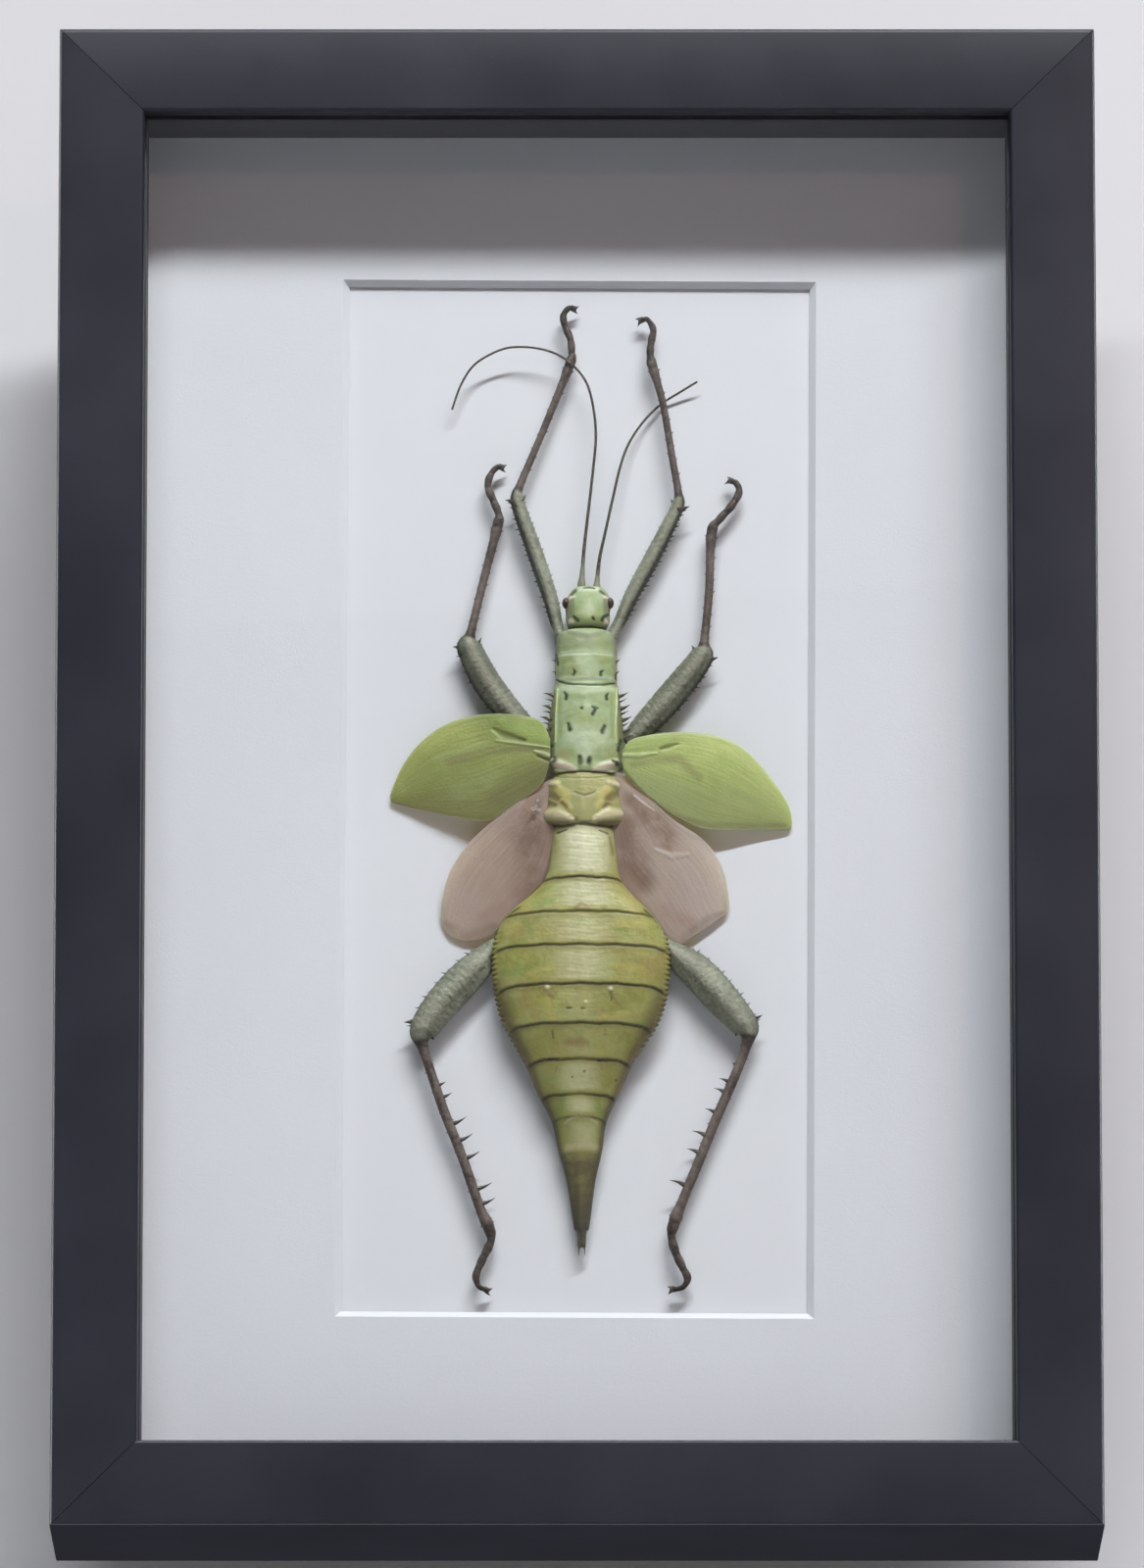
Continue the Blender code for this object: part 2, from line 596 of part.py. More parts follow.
def make_wing(name, outline, root, tip, material):
    """A thin plate cut to an outline of x and z, its height falling evenly from root to tip."""
    line = bpy.data.curves.new(name, "CURVE")
    line.dimensions = "2D"
    line.fill_mode = "BOTH"
    line.extrude = WING_THICKNESS / 2
    spline = line.splines.new("POLY")
    spline.points.add(len(outline) - 1)
    for place, (x, z) in zip(spline.points, outline):
        place.co = (x, z, 0.0, 1.0)
    spline.use_cyclic_u = True
    plate = solid_from(keep(name, line, None), name, material)
    span = Vector((tip[0] - root[0], tip[1] - root[1]))
    for corner in plate.data.vertices:
        x, z, lift = corner.co
        share = span.dot(Vector((x - root[0], z - root[1]))) / span.length_squared
        height = root[2] + (tip[2] - root[2]) * share
        corner.co = spot(x, z, height + lift)
    form = bmesh.new()
    form.from_mesh(plate.data)
    plate.data = outward(form, name)
    plate.data.materials.append(material)


def make_limbs():
    """Six spiny legs, two antennae and four spread wings."""
    for name, stations in LEGS.items():
        leg = rod(name, stations, LEG_SKIN)
        add_spines(leg, stations, SPINE_TIPS[name])
    for name, stations in ANTENNAE.items():
        rod(name, stations, HORN_BROWN, roundness=1)
    for name, shape in WINGS.items():
        material = GREEN_WING if name.startswith("fore") else PINK_WING
        make_wing(name, shape["outline"], shape["root"], shape["tip"], material)


make_frame()
make_layers()
make_back_fittings()
make_body()
make_limbs()
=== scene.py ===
"""The looks of a framed jungle nymph: its frame, glass, mat and board, and the insect itself."""

import math

import bmesh
import bpy
import numpy as np
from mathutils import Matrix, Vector


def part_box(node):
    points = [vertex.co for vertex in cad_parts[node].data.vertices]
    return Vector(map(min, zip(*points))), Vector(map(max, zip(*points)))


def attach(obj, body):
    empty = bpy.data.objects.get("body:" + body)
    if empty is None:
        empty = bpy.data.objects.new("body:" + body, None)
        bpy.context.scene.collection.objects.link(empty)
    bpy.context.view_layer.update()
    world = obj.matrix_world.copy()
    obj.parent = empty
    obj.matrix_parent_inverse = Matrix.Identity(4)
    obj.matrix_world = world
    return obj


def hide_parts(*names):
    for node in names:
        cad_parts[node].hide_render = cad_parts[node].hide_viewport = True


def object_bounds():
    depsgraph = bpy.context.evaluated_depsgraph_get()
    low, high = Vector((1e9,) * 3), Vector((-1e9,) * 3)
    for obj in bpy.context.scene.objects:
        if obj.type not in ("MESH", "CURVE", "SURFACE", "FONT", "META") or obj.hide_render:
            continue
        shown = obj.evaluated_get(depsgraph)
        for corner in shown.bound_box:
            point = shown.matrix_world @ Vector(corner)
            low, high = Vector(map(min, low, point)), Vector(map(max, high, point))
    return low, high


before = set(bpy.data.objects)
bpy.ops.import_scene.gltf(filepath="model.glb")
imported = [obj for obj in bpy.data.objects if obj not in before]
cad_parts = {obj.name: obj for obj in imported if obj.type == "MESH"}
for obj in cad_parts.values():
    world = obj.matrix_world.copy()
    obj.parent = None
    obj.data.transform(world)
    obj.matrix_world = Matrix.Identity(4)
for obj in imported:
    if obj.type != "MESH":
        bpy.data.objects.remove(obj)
cad_low, cad_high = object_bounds()
MM = 0.001


# Camera
# The photograph looks up at the upright frame from a little below, through a long lens.
# The aim is the middle of the front face, with the picture's centre slightly left of and below it.
LOOK_UP = math.radians(12.0)
CAMERA_DISTANCE = 3500 * MM
PHOTO_HEIGHT = 1600
FRAME_WIDTH_IN_PHOTO = 1066
SENSOR = 36.0
PICTURE_LEFT = 1.1 * MM
PICTURE_DROP = 3.2 * MM

frame_width = cad_high.x - cad_low.x
frame_height = cad_high.z - cad_low.z
front_y = cad_low.y
back_y = cad_high.y

camera = bpy.data.objects.new("camera", bpy.data.cameras.new("camera"))
bpy.context.scene.collection.objects.link(camera)
bpy.context.scene.camera = camera
sight = Vector((0, math.cos(LOOK_UP), math.sin(LOOK_UP)))
picture_up = Vector((0, -math.sin(LOOK_UP), math.cos(LOOK_UP)))
aim = Vector((0, front_y, frame_height / 2))
camera.location = (
    aim - sight * CAMERA_DISTANCE - picture_up * PICTURE_DROP - Vector((PICTURE_LEFT, 0, 0))
)
camera.rotation_euler = sight.to_track_quat("-Z", "Y").to_euler()
camera.data.sensor_width = SENSOR
camera.data.lens = (
    FRAME_WIDTH_IN_PHOTO / frame_width * CAMERA_DISTANCE * SENSOR / PHOTO_HEIGHT
)
camera.data.clip_start = 0.05
camera.data.clip_end = 50
bpy.context.scene.view_settings.view_transform = "Standard"


# Light and room
# Two close strips high in front cast the top rail's doubled shadow, as a pair of ceiling tubes
# would. A small warm lamp stands at the upper right, and soft panels and a pale sky fill in.
LIP_INNER = 19 * MM
EDGE_DEPTH = 0.7 * MM
MAT_BEHIND_LIP = 22.6 * MM
STRIP_DISTANCE = 1.35
STRIP_SHIFT = 0.2
STRIP_SIZE = (1.25, 0.018)
STRIP_SPREAD = math.radians(70)
STRIP_COLOUR = (0.955, 0.965, 1.0)
# Each strip: how far below the lip its shadow falls on the mat, and its power
STRIPS = [(28.2 * MM, 2.3), (30.3 * MM, 2.84)]
WARM_WAY = (0.5, -1.0, 0.478)
WARM_DISTANCE = 2.0
WARM_SIZE = (0.05, 0.05)
WARM_POWER = 1.5
WARM_COLOUR = (1.0, 0.44, 0.33)
SIDE_SPREAD = math.radians(30)
# Each soft panel: its place, target, size, power and colour, and the spread of its beam. The two
# side panels stay between the front face and the wall, and so light the frame's sides alone.
SOFT_PANELS = {
    "front_panel": ((0.35, -1.3, 0.72), (0, 0, 0.25), (1.4, 0.4), 0.35, (0.72, 0.77, 0.86)),
    "under_panel": ((0, -0.3, -0.7), (0, 0, 0), (1.2, 0.4), 5.0, (1.0, 0.96, 1.0)),
    "back_panel_left": ((-0.9, 1.2, 0.9), (0, 0, 0.17), (0.9, 0.9), 14.0, (1, 0.98, 0.95)),
    "back_panel_right": ((0.9, 1.3, 0.6), (0, 0, 0.17), (0.9, 0.9), 8.0, (0.95, 0.98, 1)),
    "side_panel_left": (
        (-1.4, 0.02, 0.3), (0, 0.02, 0.17), (0.06, 0.7), 0.7, (0.97, 0.99, 1.0), SIDE_SPREAD
    ),
    "side_panel_right": (
        (1.4, 0.02, 0.3), (0, 0.02, 0.17), (0.06, 0.7), 0.7, (0.97, 0.99, 1.0), SIDE_SPREAD
    ),
}
SKY_LIGHT = (0.055, 0.054, 0.055, 1)
SKY_SEEN = (0.62, 0.63, 0.64, 1)

casting_edge = Vector((0, front_y + EDGE_DEPTH, frame_height - LIP_INNER))
mat_middle = Vector((0, front_y + MAT_BEHIND_LIP, frame_height * 0.45))


def area_light(name, place, target, size, power, colour, spread=math.pi):
    """A rectangular lamp at a place, turned to its target and unseen by the camera."""
    lamp = bpy.data.lights.new(name, "AREA")
    lamp.spread = spread
    lamp.shape = "RECTANGLE"
    lamp.size, lamp.size_y = size
    lamp.energy = power
    lamp.color = colour
    item = bpy.data.objects.new(name, lamp)
    item.location = place
    item.rotation_euler = (Vector(target) - Vector(place)).to_track_quat("-Z", "Y").to_euler()
    item.visible_camera = False
    bpy.context.scene.collection.objects.link(item)


for number, (drop, power) in enumerate(STRIPS):
    rise = math.atan2(drop, MAT_BEHIND_LIP)
    way = Vector((0, -math.cos(rise), math.sin(rise)))
    place = casting_edge + way * STRIP_DISTANCE + Vector((STRIP_SHIFT, 0, 0))
    area_light(
        f"strip_{number}", place, mat_middle, STRIP_SIZE, power, STRIP_COLOUR, STRIP_SPREAD
    )
warm_place = mat_middle + Vector(WARM_WAY).normalized() * WARM_DISTANCE
area_light("warm_lamp", warm_place, mat_middle, WARM_SIZE, WARM_POWER, WARM_COLOUR)
for name, panel in SOFT_PANELS.items():
    area_light(name, *panel)

world = bpy.data.worlds.new("pale_room")
bpy.context.scene.world = world
world.use_nodes = True
sky = world.node_tree.nodes["Background"]
seen = world.node_tree.nodes.new("ShaderNodeLightPath")
sky_mix = world.node_tree.nodes.new("ShaderNodeMix")
sky_mix.data_type = "RGBA"
sky_mix.inputs["A"].default_value = SKY_LIGHT
sky_mix.inputs["B"].default_value = SKY_SEEN
world.node_tree.links.new(seen.outputs["Is Camera Ray"], sky_mix.inputs["Factor"])
world.node_tree.links.new(sky_mix.outputs["Result"], sky.inputs["Color"])


def one_sided_sheet(name, corners, faces, colour):
    """A stage plane seen from its front alone: its rear lets sight and light through."""
    mesh = bpy.data.meshes.new(name)
    mesh.from_pydata([Vector(c) for c in corners], [], faces)
    item = bpy.data.objects.new(name, mesh)
    bpy.context.scene.collection.objects.link(item)
    material = bpy.data.materials.new(name)
    material.use_nodes = True
    nodes, links = material.node_tree.nodes, material.node_tree.links
    shader = nodes["Principled BSDF"]
    shader.inputs["Base Color"].default_value = (*colour, 1)
    shader.inputs["Roughness"].default_value = 0.9
    clear = nodes.new("ShaderNodeBsdfTransparent")
    side = nodes.new("ShaderNodeNewGeometry")
    choice = nodes.new("ShaderNodeMixShader")
    links.new(side.outputs["Backfacing"], choice.inputs["Fac"])
    links.new(shader.outputs["BSDF"], choice.inputs[1])
    links.new(clear.outputs["BSDF"], choice.inputs[2])
    links.new(choice.outputs["Shader"], nodes["Material Output"].inputs["Surface"])
    mesh.materials.append(material)


WALL_GAP = 45 * MM
REACH = 3.0
wall_y = back_y + WALL_GAP
half_width = frame_width / 2
# The floor leaves out the frame's own footprint, so that light from below reaches the underside
one_sided_sheet(
    "floor",
    [
        (-REACH, -REACH, 0), (REACH, -REACH, 0), (REACH, wall_y, 0), (-REACH, wall_y, 0),
        (-half_width, front_y, 0), (half_width, front_y, 0),
        (half_width, back_y, 0), (-half_width, back_y, 0),
    ],
    [(0, 1, 5, 4), (1, 2, 6, 5), (2, 3, 7, 6), (3, 0, 4, 7)],
    (0.42, 0.42, 0.43),
)
one_sided_sheet(
    "wall",
    [(-REACH, wall_y, 0), (REACH, wall_y, 0), (REACH, wall_y, REACH), (-REACH, wall_y, REACH)],
    [(0, 1, 2, 3)],
    (0.80, 0.805, 0.82),
)


# Frame rails
# Four lengths of smooth wood moulding, stained satin black with a navy cast, cut at 45 degrees
# and glued at the mitres, their long front edges softly rounded. The navy cast is partly a
# painted bluish reflection on the satin face.
RAIL_FACE = 19 * MM
RAIL_WALL = 16 * MM
LIP_DEPTH = 4 * MM
EDGE_RADIUS = 0.9 * MM
ARC_POINTS = 7
MITRE_GAP = 0.08 * MM
SHARP_ANGLE = math.radians(35)


class Finish:
    """One material, its main shader, and short ways to place and join its nodes."""

    def __init__(self, name, **plain):
        self.material = bpy.data.materials.new(name)
        self.material.use_nodes = True
        self.nodes = self.material.node_tree.nodes
        self.links = self.material.node_tree.links
        self.shader = self.nodes["Principled BSDF"]
        for socket, value in plain.items():
            self.shader.inputs[socket.replace("_", " ")].default_value = value

    def put(self, target, value):
        """Joins an output to a socket, or sets the socket's own number or colour."""
        if isinstance(value, bpy.types.NodeSocket):
            self.links.new(value, target)
        elif isinstance(value, tuple) and target.type == "RGBA":
            target.default_value = (*value[:3], 1.0)
        else:
            target.default_value = value

    def node(self, kind, settings=None, **inputs):
        """A new node of a kind, with its settings and named inputs."""
        made = self.nodes.new("ShaderNode" + kind)
        for key, value in (settings or {}).items():
            setattr(made, key, value)
        for key, value in inputs.items():
            self.put(made.inputs[key.replace("_", " ")], value)
        return made

    def place(self, scale=(1, 1, 1)):
        """Object coordinates, stretched by a scale."""
        source = self.node("TexCoord").outputs["Object"]
        return self.node("Mapping", Vector=source, Scale=scale).outputs["Vector"]

    def noise(self, scale, detail=3.0, rough=0.55, place=None):
        """Cloudy noise from 0 to 1."""
        where = place or self.place()
        made = self.node("TexNoise", Vector=where, Scale=scale, Detail=detail, Roughness=rough)
        return made.outputs["Fac"]

    def carried(self, name):
        """A value that the mesh carries at its points."""
        return self.node("Attribute", {"attribute_name": name}).outputs["Fac"]

    def maths(self, kind, one, two, clamp=False):
        """Arithmetic of two numbers."""
        made = self.node("Math", {"operation": kind, "use_clamp": clamp})
        self.put(made.inputs[0], one)
        self.put(made.inputs[1], two)
        return made.outputs[0]

    def times(self, one, two, clamp=False):
        """One number times another."""
        return self.maths("MULTIPLY", one, two, clamp)

    def plus(self, one, two):
        """The sum of two numbers."""
        return self.maths("ADD", one, two)

    def spread(self, value, low, high, to_low=0.0, to_high=1.0):
        """Stretches a range of a value to another range, clamped."""
        made = self.node("MapRange", Value=value)
        for key, number in zip(
            ("From Min", "From Max", "To Min", "To Max"), (low, high, to_low, to_high)
        ):
            made.inputs[key].default_value = number
        return made.outputs["Result"]

    def blend(self, share, one, two):
        """Mixes two colours by a share."""
        made = self.node("Mix", {"data_type": "RGBA"})
        self.put(made.inputs["Factor"], share)
        self.put(made.inputs[6], one)
        self.put(made.inputs[7], two)
        return made.outputs[2]

    def lay(self, colour, layers, broken=None):
        """Lays each layer's tone on by its carried mask and strength, broken up by a noise."""
        for mask, strength, tone in layers:
            share = self.times(self.carried(mask), strength)
            if broken:
                share = self.times(share, broken, clamp=True)
            colour = self.blend(share, colour, tone)
        return colour

    def relief(self, height, distance, strength):
        """Surface relief of a height from 0 to 1, as deep as a distance in metres."""
        made = self.node("Bump", Height=height, Distance=distance, Strength=strength)
        return made.outputs["Normal"]

    def group(self, tree, **inputs):
        """Places a shared effect with this material's own values."""
        made = self.nodes.new("ShaderNodeGroup")
        made.node_tree = tree
        for key, value in inputs.items():
            self.put(made.inputs[key.replace("_", " ")], value)
        return made.outputs

    def wear(self, **sockets):
        """Feeds the shader's sockets and hands back the material."""
        for key, value in sockets.items():
            self.put(self.shader.inputs[key.replace("_", " ")], value)
        return self.material

    def let_through(self, colour, *rays):
        """Lets the named kinds of ray pass straight through, tinted by a colour."""
        clear = self.node("BsdfTransparent", Color=colour).outputs["BSDF"]
        path = self.node("LightPath").outputs
        shown = self.shader.outputs["BSDF"]
        for ray in rays:
            choice = self.node("MixShader", Fac=path[ray])
            self.links.new(shown, choice.inputs[1])
            self.links.new(clear, choice.inputs[2])
            shown = choice.outputs["Shader"]
        self.links.new(shown, self.nodes["Material Output"].inputs["Surface"])
        return self.material


def effect(name, inputs, outputs):
    """An empty shared node group with named number sockets, and its two ends."""
    tree = bpy.data.node_groups.new(name, "ShaderNodeTree")
    for label, value in inputs.items():
        socket = tree.interface.new_socket(label, in_out="INPUT", socket_type="NodeSocketFloat")
        socket.default_value = value
    for label in outputs:
        tree.interface.new_socket(label, in_out="OUTPUT", socket_type="NodeSocketFloat")
    return tree, tree.nodes.new("NodeGroupInput"), tree.nodes.new("NodeGroupOutput")


def dress(node, finish):
    """Gives a CAD node its finished material."""
    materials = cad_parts[node].data.materials
    materials.clear()
    materials.append(finish)


def point_outward(mesh):
    """Turns every face of a closed mesh outward."""
    form = bmesh.new()
    form.from_mesh(mesh)
    form.normal_update()
    bmesh.ops.recalc_face_normals(form, faces=form.faces)
    form.to_mesh(mesh)
    form.free()


def add_piece(name, points, faces, finish, slot, *nodes):
    """Makes a closed piece from arrays, rides it on the one body and lets it stand for nodes."""
    mesh = bpy.data.meshes.new(name)
    mesh.from_pydata(np.asarray(points, float).tolist(), [], [list(f) for f in faces])
    mesh.update()
    point_outward(mesh)
    mesh.shade_smooth()
    mesh.materials.append(finish)
    item = bpy.data.objects.new(name, mesh)
    bpy.context.scene.collection.objects.link(item)
    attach(item, "root")
    if nodes:
        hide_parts(*nodes)
    return item


def tube_faces(rows, around, closed=True):
    """Quads that join each row of points to the next, closed round or open."""
    row = np.arange(rows - 1)[:, None] * around
    step = np.arange(around if closed else around - 1)[None, :]
    after = (step + 1) % around
    quads = np.stack([row + step, row + after, row + around + after, row + around + step], -1)
    return quads.reshape(-1, 4)


def fine_speckle():
    """Shared effect: two sizes of noise as one height and one mottle, by size in metres."""
    tree, start, end = effect("fine_speckle", {"Fine": 2500.0, "Broad": 60.0}, ("Height", "Mottle"))
    where = tree.nodes.new("ShaderNodeTexCoord")
    for label, size, detail in (("Height", "Fine", 2.0), ("Mottle", "Broad", 4.0)):
        cloud = tree.nodes.new("ShaderNodeTexNoise")
        cloud.inputs["Detail"].default_value = detail
        tree.links.new(where.outputs["Object"], cloud.inputs["Vector"])
        tree.links.new(start.outputs[size], cloud.inputs["Scale"])
        tree.links.new(cloud.outputs["Fac"], end.inputs[label])
    return tree


speckle = fine_speckle()


def black_stain():
    """Satin black stain: a navy cast, partly a painted bluish reflection, faint cloudy mottle,
    dust-fine relief.
    """
    finish = Finish("black_stain", Specular_IOR_Level=0.5)
    grain = finish.group(speckle, Fine=2600.0, Broad=26.0)
    tone = finish.spread(grain["Mottle"], 0.3, 0.7)
    # The blue in both tones is partly a painted bluish reflection on the satin face
    colour = finish.blend(tone, (0.0142, 0.0163, 0.0265), (0.0203, 0.0228, 0.036))
    shine = finish.spread(grain["Mottle"], 0.3, 0.7, 0.40, 0.50)
    return finish.wear(
        Base_Color=colour,
        Roughness=shine,
        Normal=finish.relief(grain["Height"], 0.00003, 0.35),
    )


def rail_profile():
    """The rail's section as (distance in from the outer edge, y), its two front edges as arcs.

    Each arc is a quarter circle: centre minus radius times cosine and sine of its turn.
    """
    turn = np.linspace(0, math.pi / 2, ARC_POINTS)
    outer = np.stack(
        [EDGE_RADIUS * (1 - np.cos(turn)), front_y + EDGE_RADIUS * (1 - np.sin(turn))], 1
    )
    inner = np.stack(
        [
            RAIL_FACE - EDGE_RADIUS * (1 - np.sin(turn)),
            front_y + EDGE_RADIUS * (1 - np.cos(turn)),
        ],
        1,
    )
    behind = front_y + LIP_DEPTH
    rest = [(RAIL_FACE, behind), (RAIL_WALL, behind), (RAIL_WALL, back_y), (0, back_y)]
    return np.concatenate([outer, inner, np.array(rest)])


def mitred_rail(side, section, material, slot, name, node):
    """Runs a section along one side; each end steps in by the distance from the outer edge."""
    inward, depth = section.T
    half = (frame_height if side in ("left", "right") else frame_width) / 2
    reach = half - inward - MITRE_GAP
    middle = frame_height / 2
    ends = []
    for way in (-1, 1):
        along = way * reach
        if side in ("left", "right"):
            across = (frame_width / 2 - inward) * (-1 if side == "left" else 1)
            ends.append(np.stack([across, depth, middle + along], 1))
        else:
            level = frame_height - inward if side == "top" else inward
            ends.append(np.stack([along, depth, level], 1))
    count = len(section)
    points = np.concatenate(ends)
    caps = [tuple(range(count)), tuple(range(count, 2 * count))]
    item = add_piece(name, points, [*tube_faces(2, count), *caps], material, slot, node)
    item.data.set_sharp_from_angle(angle=SHARP_ANGLE)


stain = black_stain()
for side in ("top", "bottom", "left", "right"):
    mitred_rail(side, rail_profile(), stain, "black_frame", f"moulding_{side}", f"rail_{side}")


# Glass
# One thin pane behind the lip, clear with a faint green body.


def clear_pane():
    """Plain glass that lamps and scattered light pass unbent, so that they reach the insect."""
    finish = Finish(
        "clear_pane",
        Base_Color=(1.0, 1.0, 1.0, 1.0),
        Roughness=0.0,
        IOR=1.45,
        Transmission_Weight=1.0,
    )
    return finish.let_through((0.97, 0.98, 0.975), "Is Diffuse Ray", "Is Shadow Ray")


dress("glass", clear_pane())


# Spacers, mat and board
# Black paper-wrapped strips hold the mat off the glass. The mat is white board with a bevelled
# window, and behind it lies white-faced foam board that carries the insect.


def black_paper():
    """Matt black paper wrap with fine fibres."""
    finish = Finish("black_paper", Specular_IOR_Level=0.3)
    grain = finish.group(speckle, Fine=3000.0, Broad=120.0)
    colour = finish.blend(grain["Mottle"], (0.045, 0.046, 0.053), (0.068, 0.068, 0.078))
    return finish.wear(
        Base_Color=colour, Roughness=0.62, Normal=finish.relief(grain["Height"], 0.00005, 0.5)
    )


def white_paper(name, dark, light, tooth):
    """White paper face with a fine tooth and faint clouds."""
    finish = Finish(name, Specular_IOR_Level=0.25)
    grain = finish.group(speckle, Fine=2200.0, Broad=14.0)
    colour = finish.blend(finish.spread(grain["Mottle"], 0.3, 0.7), dark, light)
    return finish.wear(
        Base_Color=colour, Roughness=0.86, Normal=finish.relief(grain["Height"], tooth, 0.5)
    )


spacer_finish = black_paper()
for side in ("top", "bottom", "left", "right"):
    dress(f"spacer_{side}", spacer_finish)
dress("window_mat", white_paper("mat_paper", (0.83, 0.85, 0.89), (0.86, 0.88, 0.915), 0.00006))
dress("backing_board", white_paper("board_paper", (0.85, 0.87, 0.905), (0.88, 0.90, 0.93), 0.00003))


# Back panel and fittings
# A sheet of brown hardboard closes the back, rough side out. Bent zinc-plated tabs hold it in, and
# a toothed steel hanger is riveted to it near the top.


def hardboard():
    """Pressed wood fibre: short crossed fibres in two browns, dull, with a coarse felt relief."""
    finish = Finish("hardboard", Specular_IOR_Level=0.2)
    along = finish.noise(420.0, 4.0, 0.7, finish.place((0.25, 1, 1)))
    upright = finish.noise(520.0, 4.0, 0.7, finish.place((1, 1, 0.25)))
    fibre = finish.maths("MAXIMUM", along, upright)
    patch = finish.spread(finish.noise(22.0, 3.0), 0.35, 0.65)
    fibre_share = finish.spread(fibre, 0.45, 0.75)
    colour = finish.blend(fibre_share, (0.13, 0.075, 0.035), (0.30, 0.19, 0.10))
    colour = finish.blend(finish.times(patch, 0.35), colour, (0.21, 0.13, 0.07))
    return finish.wear(Base_Color=colour, Roughness=0.85, Normal=finish.relief(fibre, 0.00015, 0.8))


def zinc_steel():
    """Zinc-plated steel: grey spangles, fine rolling lines, and duller, rougher patches."""
    finish = Finish("zinc_steel", Metallic=1.0)
    grain = finish.group(speckle, Fine=1800.0, Broad=260.0)
    rolled = finish.noise(900.0, 2.0, 0.5, finish.place((0.08, 1, 1)))
    colour = finish.blend(
        finish.spread(grain["Mottle"], 0.35, 0.65), (0.40, 0.41, 0.42), (0.62, 0.63, 0.63)
    )
    shine = finish.spread(finish.plus(grain["Mottle"], rolled), 0.7, 1.3, 0.22, 0.46)
    return finish.wear(
        Base_Color=colour, Roughness=shine, Normal=finish.relief(rolled, 0.00004, 0.4)
    )


dress("back_panel", hardboard())
zinc = zinc_steel()
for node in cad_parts:
    if node.startswith(("tab_", "hanger", "rivet_")):
        dress(node, zinc)


# Abdomen
# Ten overlapping rings of thin horny skin, dried olive green, flattened on the board and drawn out
# into a brown keeled tail. Each ring's rear edge laps over the next, with a dark seam under it.
board_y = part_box("backing_board")[0].y


def on_board(x, z, height):
    """Points in metres from millimetres across, up, and out from the backing board."""
    return np.stack(np.broadcast_arrays(x * MM, board_y - height * MM, z * MM), -1)


CURVE_SAMPLES = 60


def even_run(stations, step):
    """Reads a smooth curve through the stations at even steps of its own length.

    Between two stations each column is the cubic that passes both, and its slope at a station is
    half the step between that station's neighbours. The first two columns measure the length.
    """
    rows = np.asarray(stations, float)
    last = len(rows) - 1
    spot = np.linspace(0, last, CURVE_SAMPLES * last + 1)
    here = np.minimum(spot.astype(int), last - 1)
    t = (spot - here)[:, None]
    a, b = rows[np.maximum(here - 1, 0)], rows[here]
    c, d = rows[here + 1], rows[np.minimum(here + 2, last)]
    fine = 0.5 * (
        2 * b + (c - a) * t + (2 * a - 5 * b + 4 * c - d) * t**2 + (3 * b - a - 3 * c + d) * t**3
    )
    length = np.concatenate([[0], np.cumsum(np.hypot(*np.diff(fine[:, :2], axis=0).T))])
    even = np.linspace(0, length[-1], max(int(length[-1] / step), 4) + 1)
    return np.stack([np.interp(even, length, column) for column in fine.T], 1)


def ramp(value, low, high):
    """Rises smoothly from 0 at low to 1 at high."""
    share = np.clip((value - low) / (high - low), 0, 1)
    return share * share * (3 - 2 * share)


def bump(distance, width):
    """A soft bell, 1 at no distance and small past the width."""
    return np.exp(-((distance / width) ** 2))


def strokes(x, z, lines, soft=0.8):
    """Marks drawn as tapering lines through stations (x, z, half width), as one mask.

    Between two stations a point's distance to the line is set against the half width there: the
    mask is 1 inside, and falls smoothly to 0 within the soft share of it on either side.
    """
    total = np.zeros(np.broadcast_shapes(x.shape, z.shape))
    for line in lines:
        for one, two in zip(line, line[1:] or line):
            run_x, run_z = two[0] - one[0], two[1] - one[1]
            share = (x - one[0]) * run_x + (z - one[1]) * run_z
            share = np.clip(share / max(run_x**2 + run_z**2, 1e-9), 0, 1)
            away = np.hypot(x - one[0] - share * run_x, z - one[1] - share * run_z)
            half = one[2] + (two[2] - one[2]) * share
            total = np.maximum(total, 1 - ramp(away / half, 1 - soft, 1 + soft))
    return total


def panels(x, z, rows):
    """Soft rectangles (from z, to z, middle, half width, strength), joined by their largest."""
    total = np.zeros_like(z)
    for low, high, middle, half, strength in rows:
        tall = ramp(z, low, low + 1.0) * (1 - ramp(z, high - 1.4, high))
        wide = 1 - ramp(np.abs(x - middle), 0.25 * half, 1.45 * half)
        total = np.maximum(total, strength * tall * wide)
    return total


def closed_shell(points):
    """Faces of a grid of closed rings, with each end drawn together on one point."""
    rows, around, _ = points.shape
    ends = np.stack([points[0].mean(0), points[-1].mean(0)])
    all_points = np.concatenate([points.reshape(-1, 3), ends])
    sides = [tuple(f) for f in tube_faces(rows, around)]
    start, stop = rows * around, rows * around + 1
    final = (rows - 1) * around
    caps = [(start, (k + 1) % around, k) for k in range(around)]
    caps += [(stop, final + k, final + (k + 1) % around) for k in range(around)]
    return all_points, sides + caps


def carry(item, name, values):
    """Writes a named value at each point of a piece's mesh."""
    kept = item.data.attributes.new(name, "FLOAT", "POINT")
    kept.data.foreach_set("value", np.asarray(values, np.float32))


def add_shell(name, points, values, finish, slot, *nodes):
    """Closes a grid of rings as one piece with its faces outward, and carries its values.

    The two end points take their end rings' means.
    """
    item = add_piece(name, *closed_shell(points), finish, slot, *nodes)
    for key, grid in values.items():
        carry(item, key, np.concatenate([grid.ravel(), [grid[0].mean(), grid[-1].mean()]]))


# How far up the section its widest level lies, and how close to the board the skin comes
WIDEST = 0.42
CLEARANCE = 0.15


